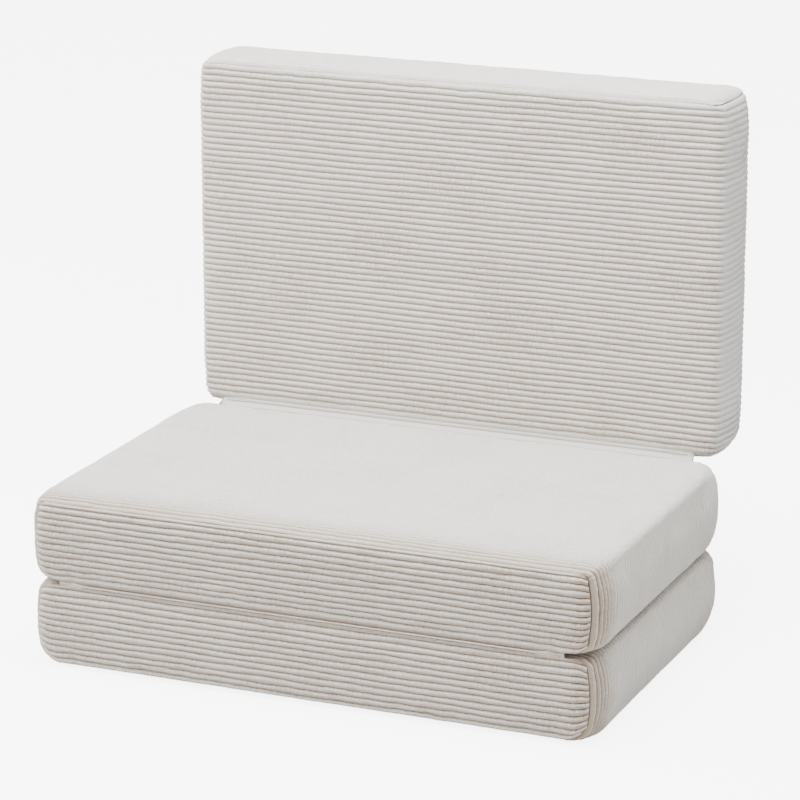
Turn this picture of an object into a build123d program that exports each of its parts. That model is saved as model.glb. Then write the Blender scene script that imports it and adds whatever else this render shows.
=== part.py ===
from build123d import *
import os
from dataclasses import dataclass

# A tri-fold foam mattress in its chair position: a base on the floor, a seat folded over
# on top of it and a back that stands up behind the seat.
# Frame: origin at the middle of the base's underside, +X to the right as seen from the
# front, -Y to the front, +Z up.

# Driving dimensions of the mattress, in millimetres
mattress_width = 1006.0
section_length = 635.0
fold_pitch = 149.0
body_gap = 0.3

# The cushion form of a section; the spread is how much wider each side is under load
cover_thickness = 5.0
foam_clearance = 0.3
end_depth = 11.0
end_rounding = 6.0
side_bow = 8.0
base_spread = 7.0
seat_spread = 11.0
face_crown = 3.0
floor_flat_depth = 0.5
long_edge_radius = 17.0
front_seam_radius = 24.0
rear_seam_radius = 34.0
hang_seam_radius = 14.0
top_seam_radius = 12.0
front_draw_in = 8.0
rear_draw_in = 5.0
hang_draw_in = 13.0
top_draw_in = 10.0
front_pinch = 6.5
rear_pinch = 4.5
top_pinch = 2.0
floor_pinch = 2.0
comfort_layer = 38.0

# The folds
tape_thickness = 1.0
tape_side_gap = 0.25
tape_length = 900.0
tape_seat_depth = 5.0
fold_thread_radius = 0.8
rear_overhang = 8.0

# The zippers in the left sides
zip_end_margin = 95.0
zip_slot_width = 12.0
zip_tape_depth = 1.4
zip_tape_thickness = 0.8
coil_gap = 1.6
coil_width = 2.6
coil_height = 1.6
stop_length = 3.0
stop_height = 2.0
slider_length = 12.0
slider_corner = 1.6
slider_plate = 1.1
slider_clearance = 0.3
slider_lip = 0.9
slider_post = 1.0
slider_post_length = 3.0
bail_width = 2.2
bail_length = 6.4
bail_opening = 2.0
bail_wall = 1.0
bail_rounding = 1.5
pull_pin_radius = 0.6
pull_side_gap = 0.4
pull_arm_width = 1.0
pull_ring_length = 6.0
pull_length = 27.0
pull_tab_width = 6.0
pull_hole_radius = 1.2
cut_overrun = 1.0

# How far into a rounded end, as a share of its depth, and the share of its rounding
# that is still to come there
end_step_shares = ((0.0, 1.0), (0.14, 0.48), (0.45, 0.14))
# How far from an end seam to the section's middle, with the shares that are left there of
# the seam's draw-in and of a crowned face's fall, and the share of the crown across it
easing_shares = ((0.0, 1.0, 1.0, 0.25), (0.09, 0.45, 0.6, 0.45), (0.24, 0.0, 0.3, 0.8),
                 (0.55, 0.0, 0.08, 0.95))
# The hidden surfaces inside the cover take only some of those steps
inner_step_shares = (end_step_shares[0], end_step_shares[-1])
inner_easing_shares = (easing_shares[0], easing_shares[2])

half_gap = body_gap / 2
half_width = mattress_width / 2 - side_bow
front_axis_y = -section_length / 2
front_axis_z = fold_pitch
rear_axis_y = section_length / 2 + rear_overhang
rear_axis_z = 2 * fold_pitch
back_hang = rear_overhang - half_gap - body_gap
fold_pinch = tape_side_gap + tape_thickness - half_gap
foam_inset = cover_thickness + foam_clearance
zip_length = section_length - 2 * zip_end_margin
coil_length = zip_length - 2 * stop_length
coil_half_width = coil_gap / 2 + coil_width
slider_width = 2 * (coil_half_width + slider_clearance + slider_lip)
slider_inset = stop_length + slider_clearance + slider_length / 2
slider_travel = zip_length - 2 * slider_inset
plate_inner_face = coil_height - zip_tape_depth + slider_clearance
plate_outer_face = plate_inner_face + slider_plate
pull_axis_height = plate_outer_face + bail_opening / 2


@dataclass(frozen=True)
class Ending:
    """How one end of a section is drawn in: at its width, at its two faces and in its corners."""

    draw_in: float
    low_pinch: float
    high_pinch: float
    corner: float


@dataclass(frozen=True)
class Slice:
    """A cross-section: where it is, how far it is drawn in, its bowed faces and its corners."""

    along: float
    draw_in: float
    low_fall: float
    high_fall: float
    low_bow: float
    high_bow: float
    corner: float


@dataclass(frozen=True)
class Section:
    """A padded section. Its length runs along +Y where it lies and along +Z where it stands."""

    name: str
    standing: bool
    start: float
    low_face: float
    low_gap: float
    spread: float
    first: Ending
    last: Ending
    low_crown: float
    high_crown: float
    comfort_is_high: bool
    slider_at_last: bool

    def slice_plane(self, along):
        """Plane across the section, sketch X along world X and sketch Y through its thickness."""
        if self.standing:
            return Plane((0, self.low_face, self.start + along), x_dir=(1, 0, 0), z_dir=(0, 0, 1))
        return Plane((0, self.start + along, self.low_face), x_dir=(1, 0, 0), z_dir=(0, -1, 0))

    def layer_plane(self, level):
        """Plane at a level of the thickness, its normal towards the high face."""
        if self.standing:
            return Plane((0, self.low_face + level, 0), x_dir=(1, 0, 0), z_dir=(0, 1, 0))
        return Plane((0, 0, self.low_face + level), x_dir=(1, 0, 0), z_dir=(0, 0, 1))

    def side_plane(self, along, out=0.0):
        """Plane on the left side, sketch X along the section and its normal pointing out."""
        left = out + mattress_width / 2 + self.spread
        middle = self.low_face + fold_pitch / 2
        if self.standing:
            return Plane((-left, middle, self.start + along), x_dir=(0, 0, 1), z_dir=(-1, 0, 0))
        return Plane((-left, self.start + along, middle), x_dir=(0, 1, 0), z_dir=(-1, 0, 0))

    def profile_plane(self, along):
        """Plane through the left side, sketch X along the section and sketch Y pointing out."""
        side = self.side_plane(along)
        return Plane(side.origin, x_dir=side.x_dir, z_dir=-side.y_dir)


base = Section("base", False, front_axis_y + half_gap, 0.0, -floor_flat_depth, base_spread,
               Ending(front_draw_in + base_spread, floor_pinch, fold_pinch, front_seam_radius),
               Ending(rear_draw_in + base_spread, floor_pinch, rear_pinch, rear_seam_radius),
               0.0, 0.0, True, True)
seat = Section("seat", False, front_axis_y + half_gap, fold_pitch, half_gap, seat_spread,
               Ending(front_draw_in + seat_spread, fold_pinch, front_pinch, front_seam_radius),
               Ending(rear_draw_in + seat_spread, rear_pinch, fold_pinch, rear_seam_radius),
               0.0, face_crown, False, True)
back = Section("back", True, rear_axis_z - back_hang, rear_axis_y, half_gap, 0.0,
               Ending(hang_draw_in, fold_pinch, rear_pinch, hang_seam_radius),
               Ending(top_draw_in, top_pinch, top_pinch, top_seam_radius),
               face_crown, face_crown, True, False)


def end_slices(section, ending, inset):
    """Slices of a rounded end, from its flat face towards its seam."""
    bow_share = easing_shares[0][3]
    slices = []
    for step, left in inner_step_shares if inset else end_step_shares:
        shrink = inset + left * end_rounding
        slices.append(Slice(step * end_depth + inset * (1 - step), ending.draw_in + shrink,
                            ending.low_pinch + shrink, ending.high_pinch + shrink,
                            section.low_crown * bow_share, section.high_crown * bow_share,
                            max(ending.corner - inset, cover_thickness)))
    return slices


def easing_slices(section, ending, inset):
    """Slices from an end seam towards the middle, where the draw-in and the fall fade out."""
    run = section_length / 2 - end_depth
    slices = []
    for share, drawn, fallen, bowed in inner_easing_shares if inset else easing_shares:
        low_share = fallen if section.low_crown else drawn
        high_share = fallen if section.high_crown else drawn
        corner = long_edge_radius + (ending.corner - long_edge_radius) * drawn
        slices.append(Slice(end_depth + share * run, ending.draw_in * drawn + inset,
                            ending.low_pinch * low_share + inset,
                            ending.high_pinch * high_share + inset,
                            section.low_crown * bowed, section.high_crown * bowed,
                            corner - inset))
    return slices


def form_slices(section, inset):
    """Slices between a section's two end seams."""
    near = easing_slices(section, section.first, inset)
    far = easing_slices(section, section.last, inset)
    middle = Slice(section_length / 2, inset, inset, inset, section.low_crown,
                   section.high_crown, long_edge_radius - inset)
    return near + [middle] + [from_last_end(cut) for cut in far[::-1]]


def from_last_end(cut, shift=0.0):
    """The same slice, measured from the section's last end."""
    return Slice(section_length - cut.along + shift, cut.draw_in, cut.low_fall, cut.high_fall,
                 cut.low_bow, cut.high_bow, cut.corner)


def moved(cut, shift):
    """The same slice, moved along the section."""
    return Slice(cut.along + shift, cut.draw_in, cut.low_fall, cut.high_fall, cut.low_bow,
                 cut.high_bow, cut.corner)


def slice_face(section, cut):
    """Face across the section: bowed sides, crowned or flat faces and rounded corners."""
    half = half_width + section.spread - cut.draw_in
    low_crest = section.low_gap + cut.low_fall
    high_crest = fold_pitch - half_gap - cut.high_fall
    low_edge = low_crest + cut.low_bow
    high_edge = high_crest - cut.high_bow
    middle = (low_edge + high_edge) / 2
    with BuildSketch(section.slice_plane(cut.along)) as outline:
        with BuildLine():
            ThreePointArc((half, low_edge), (half + side_bow, middle), (half, high_edge))
            if cut.high_bow:
                ThreePointArc((half, high_edge), (0, high_crest), (-half, high_edge))
            else:
                Line((half, high_edge), (-half, high_edge))
            ThreePointArc((-half, high_edge), (-half - side_bow, middle), (-half, low_edge))
            if cut.low_bow:
                ThreePointArc((-half, low_edge), (0, low_crest), (half, low_edge))
            else:
                Line((-half, low_edge), (half, low_edge))
        make_face()
        fillet(outline.vertices(), radius=cut.corner)
    return outline.sketch.face()


def slice_faces(section, slices):
    """Faces of several slices, ready to loft."""
    return [slice_face(section, cut) for cut in slices]


def inner_face(section, cut):
    """Face across the space inside the cover: straight runs and cut corners, as foam is cut."""
    half = half_width + section.spread - cut.draw_in
    low_crest = section.low_gap + cut.low_fall
    high_crest = fold_pitch - half_gap - cut.high_fall
    low_edge = low_crest + cut.low_bow
    high_edge = high_crest - cut.high_bow
    middle = (low_edge + high_edge) / 2
    right = [(0, low_crest), (half - cut.corner, low_edge), (half, low_edge + cut.corner),
             (half + side_bow, middle), (half, high_edge - cut.corner),
             (half - cut.corner, high_edge), (0, high_crest)]
    left = [(-across, up) for across, up in right[-2:0:-1]]
    with BuildSketch(section.slice_plane(cut.along)) as outline:
        with BuildLine():
            Polyline(right + left, close=True)
        make_face()
    return outline.sketch.face()


def inner_faces(section, slices):
    """Faces of several slices of the space inside the cover, ready to loft."""
    return [inner_face(section, cut) for cut in slices]


def trim_to_floor():
    """Cuts the part in hand flat where it rests on the floor."""
    split(bisect_by=Plane.XY, keep=Keep.TOP)


def make_foam(section):
    """Comfort layer on the sleeping side and the firm block it is glued to, inside the cover."""
    slices = end_slices(section, section.first, foam_inset) + form_slices(section, foam_inset)
    slices += [from_last_end(cut) for cut in end_slices(section, section.last, foam_inset)[::-1]]
    level = half_gap + comfort_layer
    if section.comfort_is_high:
        level = fold_pitch - half_gap - comfort_layer
    glue_line = section.layer_plane(level)
    comfort_side = Keep.TOP if section.comfort_is_high else Keep.BOTTOM
    support_side = Keep.BOTTOM if section.comfort_is_high else Keep.TOP
    with BuildPart() as comfort_foam:
        loft(inner_faces(section, slices), ruled=True)
        split(bisect_by=glue_line, keep=comfort_side)
    with BuildPart() as support_foam:
        loft(inner_faces(section, slices), ruled=True)
        split(bisect_by=glue_line, keep=support_side)
    finish(comfort_foam.part, section.name + "_comfort_foam")
    finish(support_foam.part, section.name + "_support_foam")


def make_wrap(section):
    """The tube of corduroy round a section, with the zipper's slot and the folds' seam slots."""
    inner = form_slices(section, cover_thickness)
    inner = [moved(inner[0], -cut_overrun)] + inner + [moved(inner[-1], cut_overrun)]
    with BuildPart() as wrap:
        loft(slice_faces(section, form_slices(section, 0.0)), ruled=True)
        loft(inner_faces(section, inner), ruled=True, mode=Mode.SUBTRACT)
        with BuildSketch(section.side_plane(section_length / 2, out=cut_overrun)):
            Rectangle(zip_length, zip_slot_width)
        extrude(amount=-cover_thickness - 2 * cut_overrun, mode=Mode.SUBTRACT)
        for fold_tape in fold_tapes:
            if fold_tape.section == section.name:
                with BuildSketch(Plane.YZ):
                    with BuildLine():
                        Polyline(tape_corners(fold_tape), close=True)
                    make_face()
                extrude(amount=tape_length / 2, both=True, mode=Mode.SUBTRACT)
        if section.low_gap < 0:
            trim_to_floor()
    finish(wrap.part, section.name + "_cover_wrap")


def make_end_panel(section, ending, at_last, name):
    """A sewn-in end panel of corduroy: a shallow tray whose rim meets the wrap at the seam."""
    outer = end_slices(section, ending, 0.0) + easing_slices(section, ending, 0.0)[:1]
    inner = end_slices(section, ending, cover_thickness)
    inner += easing_slices(section, ending, cover_thickness)[:1]
    inner.append(moved(inner[-1], cut_overrun))
    if at_last:
        outer = [from_last_end(cut) for cut in outer]
        inner = [from_last_end(cut) for cut in inner]
    with BuildPart() as panel:
        loft(slice_faces(section, outer), ruled=True)
        loft(inner_faces(section, inner), ruled=True, mode=Mode.SUBTRACT)
        if section.low_gap < 0:
            trim_to_floor()
    finish(panel.part, section.name + "_" + name)


@dataclass(frozen=True)
class FoldTape:
    """A tape from a fold's axis to the seam of a section: unit steps along its face and into it."""

    name: str
    section: str
    axis_y: float
    axis_z: float
    run: tuple
    into: tuple
    reach: float
    thread_gap: float


fold_tapes = (
    FoldTape("front_fold_lower_tape", "base", front_axis_y, front_axis_z, (1, 0), (0, -1),
             half_gap + end_depth, 0.0),
    FoldTape("front_fold_upper_tape", "seat", front_axis_y, front_axis_z, (1, 0), (0, 1),
             half_gap + end_depth, body_gap),
    FoldTape("rear_fold_seat_tape", "seat", rear_axis_y, rear_axis_z, (-1, 0), (0, -1),
             rear_overhang - half_gap + end_depth, 0.0),
    FoldTape("rear_fold_back_tape", "back", rear_axis_y, rear_axis_z, (0, 1), (1, 0),
             end_depth - back_hang, body_gap),
)


def tape_corners(fold_tape):
    """Corners of a tape in the YZ plane: flat along the face, then turned down into the seam."""
    under = tape_side_gap + tape_thickness
    far = fold_tape.reach + tape_thickness
    steps = ((0, tape_side_gap), (far, tape_side_gap), (far, under + tape_seat_depth),
             (fold_tape.reach, under + tape_seat_depth), (fold_tape.reach, under), (0, under))
    corners = []
    for along, deep in steps:
        corners.append((fold_tape.axis_y + fold_tape.run[0] * along + fold_tape.into[0] * deep,
                        fold_tape.axis_z + fold_tape.run[1] * along + fold_tape.into[1] * deep))
    return corners


def make_fold_tape(fold_tape):
    """A tape that joins a section to a fold's thread."""
    with BuildPart() as tape:
        with BuildSketch(Plane.YZ):
            with BuildLine():
                Polyline(tape_corners(fold_tape), close=True)
            make_face()
            with Locations((fold_tape.axis_y, fold_tape.axis_z)):
                Circle(fold_thread_radius + fold_tape.thread_gap, mode=Mode.SUBTRACT)
        extrude(amount=tape_length / 2, both=True)
    finish(tape.part, fold_tape.name)


def make_fold_thread(name, axis_y, axis_z):
    """The line of thread that joins two tapes and is the axis of their fold."""
    with BuildPart() as thread:
        with BuildSketch(Plane.YZ):
            with Locations((axis_y, axis_z)):
                Circle(fold_thread_radius)
        extrude(amount=tape_length / 2, both=True)
    finish(thread.part, name)


def make_zip_tapes(section):
    """The two halves of a zipper's tape, sewn to the sides of its slot."""
    half_tape = (zip_slot_width - coil_gap) / 2
    with BuildPart() as tapes:
        with BuildSketch(section.side_plane(section_length / 2, out=-zip_tape_depth)):
            with GridLocations(0, coil_gap + half_tape, 1, 2):
                Rectangle(zip_length, half_tape)
        extrude(amount=-zip_tape_thickness)
    finish(tapes.part, section.name + "_zip_tapes")


def make_zip_coils(section):
    """The two rows of coil on the tapes, with the slider's gap between them."""
    with BuildPart() as coils:
        with BuildSketch(section.side_plane(section_length / 2, out=-zip_tape_depth)):
            with GridLocations(0, coil_gap + coil_width, 1, 2):
                Rectangle(coil_length, coil_width)
        extrude(amount=coil_height)
    finish(coils.part, section.name + "_zip_coils")


def make_zip_stops(section):
    """The stops across both ends of the coils."""
    with BuildPart() as stops:
        with BuildSketch(section.side_plane(section_length / 2, out=-zip_tape_depth)):
            with GridLocations(coil_length + stop_length, 0, 2, 1):
                Rectangle(stop_length, 2 * coil_half_width)
        extrude(amount=stop_height)
    finish(stops.part, section.name + "_zip_stops")


def slider_place(section):
    """Where the closed slider's middle lies along its section."""
    if section.slider_at_last:
        return section_length - zip_end_margin - slider_inset
    return zip_end_margin + slider_inset


def make_slider(section):
    """A slider: two plates, lips round the coils, the post that parts them and a bail on top."""
    along = slider_place(section)
    lead = 1 if section.slider_at_last else -1
    lip_place = slider_width - slider_lip
    under_tape = zip_tape_depth + zip_tape_thickness + slider_clearance
    lip_height = plate_inner_face + zip_tape_depth - slider_clearance
    post_place = lead * (slider_length - slider_post_length) / 2
    outer_top = bail_opening + bail_wall
    with BuildPart() as slider:
        with BuildSketch(section.side_plane(along, out=plate_inner_face)):
            RectangleRounded(slider_length, slider_width, slider_corner)
        extrude(amount=slider_plate)
        with BuildSketch(section.side_plane(along, out=-under_tape)):
            RectangleRounded(slider_length, slider_width, slider_corner)
        extrude(amount=-slider_plate)
        with BuildSketch(section.side_plane(along, out=plate_inner_face)):
            with GridLocations(0, lip_place, 1, 2):
                Rectangle(slider_length - 2 * slider_corner, slider_lip)
        extrude(amount=-lip_height)
        with BuildSketch(section.side_plane(along, out=plate_inner_face)):
            with Locations((post_place, 0)):
                Rectangle(slider_post_length, slider_post)
        extrude(amount=-plate_inner_face - under_tape)
        with BuildSketch(section.profile_plane(along)) as bail:
            with Locations((0, plate_outer_face)):
                Rectangle(bail_length, outer_top, align=(Align.CENTER, Align.MIN))
                Rectangle(bail_length - 2 * bail_wall, bail_opening,
                          align=(Align.CENTER, Align.MIN), mode=Mode.SUBTRACT)
            crown_corners = bail.vertices().filter_by(
                lambda corner: section.profile_plane(along).to_local_coords(corner).Y
                > plate_outer_face + bail_opening + bail_wall / 2)
            fillet(crown_corners, radius=bail_rounding)
        extrude(amount=bail_width / 2, both=True)
    finish(slider.part, section.name + "_zip_slider")


def make_pull(section):
    """A pull: a pin under the slider's bail, two arms, and a tab with a hole, lying back."""
    along = slider_place(section)
    arm_place = bail_width + 2 * pull_side_gap + pull_arm_width
    ring_width = arm_place + pull_arm_width
    tab_length = pull_length - pull_ring_length
    tab_corner = pull_tab_width / 2 - pull_arm_width
    arm_length = pull_ring_length + tab_corner
    with BuildPart() as pull:
        with BuildSketch(section.side_plane(along, out=pull_axis_height)):
            with Locations((-arm_length / 2, 0)):
                with GridLocations(0, arm_place, 1, 2):
                    Rectangle(arm_length, pull_arm_width)
            with Locations((-pull_length, 0)):
                RectangleRounded(tab_length, pull_tab_width, tab_corner,
                                 align=(Align.MIN, Align.CENTER))
            with Locations((-pull_length + pull_tab_width / 2, 0)):
                Circle(pull_hole_radius, mode=Mode.SUBTRACT)
        extrude(amount=pull_pin_radius, both=True)
        with BuildSketch(section.profile_plane(along)):
            with Locations((0, pull_axis_height)):
                Circle(pull_pin_radius)
        extrude(amount=ring_width / 2, both=True)
    finish(pull.part, section.name + "_zip_pull")


def finish(part, name):
    """Labels a finished piece and writes its file."""
    part.label = name
    export_step(part, "parts/" + name + ".step")


def make_section(section, first_panel, last_panel):
    """All pieces of one padded section."""
    make_foam(section)
    make_wrap(section)
    make_end_panel(section, section.first, False, first_panel)
    make_end_panel(section, section.last, True, last_panel)
    make_zip_tapes(section)
    make_zip_coils(section)
    make_zip_stops(section)
    make_slider(section)
    make_pull(section)


os.makedirs("parts", exist_ok=True)
make_section(base, "front_panel", "rear_panel")
make_section(seat, "front_panel", "rear_panel")
make_section(back, "bottom_panel", "top_panel")
for fold_tape in fold_tapes:
    make_fold_tape(fold_tape)
make_fold_thread("front_fold_thread", front_axis_y, front_axis_z)
make_fold_thread("rear_fold_thread", rear_axis_y, rear_axis_z)
print("front fold axis y, z:", front_axis_y, front_axis_z)
print("rear fold axis y, z:", rear_axis_y, rear_axis_z)
print("slider travel:", slider_travel, "pull axis out:", pull_axis_height)
for section in (base, seat, back):
    spot = section.side_plane(slider_place(section), out=pull_axis_height).origin
    print(section.name, "pull axis at", spot)
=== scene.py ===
"""A tri-fold foam mattress folded into a floor chair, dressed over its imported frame.

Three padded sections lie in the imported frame: a base on the floor, a seat folded over on top
of it and a back that stands up behind. Each has a corduroy wrap whose wales run round the
section, two sewn-in corduroy end panels, two blocks of foam and a zipper in its left side.
The frame is +X to the right, +Z up and -Y to the front, with the origin in the middle of the
base's underside. All lengths are in metres.
"""

import logging
import math
from dataclasses import dataclass
from enum import Enum, IntEnum

import bpy
import numpy as np
from mathutils import Matrix, Vector

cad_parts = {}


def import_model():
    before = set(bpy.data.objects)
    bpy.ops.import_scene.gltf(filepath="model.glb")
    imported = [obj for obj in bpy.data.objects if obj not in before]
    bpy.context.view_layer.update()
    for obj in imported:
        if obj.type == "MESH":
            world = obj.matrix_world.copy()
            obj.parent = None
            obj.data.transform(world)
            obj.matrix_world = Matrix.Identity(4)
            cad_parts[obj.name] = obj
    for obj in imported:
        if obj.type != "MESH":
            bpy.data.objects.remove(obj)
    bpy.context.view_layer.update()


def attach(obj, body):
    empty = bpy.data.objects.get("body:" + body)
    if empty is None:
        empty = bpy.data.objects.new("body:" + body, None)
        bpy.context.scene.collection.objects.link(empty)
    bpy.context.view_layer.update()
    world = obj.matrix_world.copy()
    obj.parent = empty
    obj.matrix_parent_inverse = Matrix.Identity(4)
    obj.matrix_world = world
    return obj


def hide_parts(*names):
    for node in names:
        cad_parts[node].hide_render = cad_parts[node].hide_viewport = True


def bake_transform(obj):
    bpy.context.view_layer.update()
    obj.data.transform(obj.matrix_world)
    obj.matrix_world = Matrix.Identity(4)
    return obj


Array = np.ndarray
LOG = logging.getLogger("mattress")

WIDTH = 1.006
LENGTH = 0.635
THICKNESS = 0.149
SIDE_BOW = 0.008
HALF_WIDTH = WIDTH / 2 - SIDE_BOW
HALF_GAP = 0.00015
OVERHANG = 0.008
END_DEPTH = 0.011
WALE_DEPTH = 0.0034
SEAM_SHARE = 0.5
# Phase shift, in wales, of the painted groove shade beside the seams.
SEAM_SHADE_SHIFT = 0.24
SEAM_GAP = 0.0001
SEAM_RADIUS = 0.0003
PUSH = 0.0025
SLOT_MARGIN = 0.095
SLOT_WIDTH = 0.012
SLOT_DEPTH = 0.004
SLOT_RIM = (0.0054, 0.0064)
SLOT_END_RIM = (0.001, 0.003)
SLOT_COLUMNS = np.array([4.6, 5.6, 6.4, 7.5]) / 85.0
SLOT_CLEAR = 8.2 / 85.0
ZIP_LENGTH = LENGTH - 2 * SLOT_MARGIN
SEAM_CURL = np.radians([18.0, 40.0, 62.0, 84.0, 104.0])
WALE_STEPS = np.array([0.0, 0.05, 0.14, 0.3, 0.5, 0.7, 0.86, 0.95])
FOLD_WAVE = 0.013
CORNER_FOLD = 0.0016


class Lie(Enum):
    """How a section lies: flat, its length along +Y, or upright, its length along +Z."""

    FLAT = "flat"
    UPRIGHT = "upright"


class Run(IntEnum):
    """The runs of a section's outline, in order round it."""

    LOW_FACE = 0
    LOW_RIGHT = 1
    RIGHT = 2
    HIGH_RIGHT = 3
    HIGH_FACE = 4
    HIGH_LEFT = 5
    LEFT = 6
    LOW_LEFT = 7


# ---------------------------------------------------------------------------------------
# Shared arithmetic


def smooth_step(value: Array, low: float, high: float) -> Array:
    """Rises smoothly from 0 at low to 1 at high: the cubic t * t * (3 - 2 t).

    Args:
        value: the values to shape.
        low: where the result is 0.
        high: where the result is 1.

    Returns:
        The shaped values, from 0 to 1.
    """
    t = np.clip((value - low) / (high - low), 0.0, 1.0)
    return t * t * (3.0 - 2.0 * t)


def soft_noise(u: Array, v: Array, wave_u: float, wave_v: float, seed: int) -> Array:
    """A smooth random field: the mean of 14 plane waves with seeded directions and phases.

    Args:
        u: first coordinate, in metres.
        v: second coordinate, in metres.
        wave_u: typical wavelength along u.
        wave_v: typical wavelength along v.
        seed: picks the waves.

    Returns:
        The field, about -1 to 1.
    """
    rng = np.random.default_rng(seed)
    total = np.zeros(np.broadcast(u, v).shape)
    for _ in range(14):
        pu, pv = rng.normal(0.0, 1.0, 2)
        total = total + np.cos(2 * math.pi * (u * pu / wave_u + v * pv / wave_v)
                               + rng.uniform(0.0, 2 * math.pi))
    return total / math.sqrt(14.0)


def wale_profile(phase: Array) -> Array:
    """Height of a wale: with w the distance from its crest, from 0 to 1, (1 - w^2)^0.85.

    Args:
        phase: position across the wales, counted in wales, whole at the grooves.

    Returns:
        Heights from 0 in a groove to 1 on a crest.
    """
    w = np.abs(2.0 * (phase - np.floor(phase)) - 1.0)
    return np.power(np.clip(1.0 - w * w, 0.0, 1.0), 0.85)


def wale_rows(count: float) -> Array:
    """Positions across count wales, counted in wales: close together beside the grooves."""
    rows = (np.arange(math.ceil(count))[:, None] + WALE_STEPS[None, :]).ravel()
    return np.append(rows[rows < count - 0.02], float(count))


def thinned(places: Array, gap: float) -> Array:
    """Sorts places and drops each that is within a gap of the one before or of the last."""
    places = np.sort(places)
    kept = places[np.concatenate([[True], np.diff(places) > gap])]
    return np.append(kept[kept < places[-1] - gap], places[-1])


def signed_power(x: Array, power: float) -> Array:
    """x to a power, its sign kept: a small power squares off a circle's sine and cosine."""
    return np.sign(x) * np.abs(x) ** power


def grid_normals(points: Array, closed: bool, flipped: bool) -> Array:
    """Unit normals of a grid, across its two central differences.

    Args:
        points: rows by columns by 3.
        closed: whether the columns run round.
        flipped: whether the cross product points inwards and is turned round.

    Returns:
        Unit normals of the same shape.
    """
    along = np.gradient(points, axis=0)
    if closed:
        around = np.roll(points, -1, axis=1) - np.roll(points, 1, axis=1)
    else:
        around = np.gradient(points, axis=1)
    normal = np.cross(along, around)
    normal /= np.maximum(np.linalg.norm(normal, axis=2, keepdims=True), 1e-12)
    return -normal if flipped else normal


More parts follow.
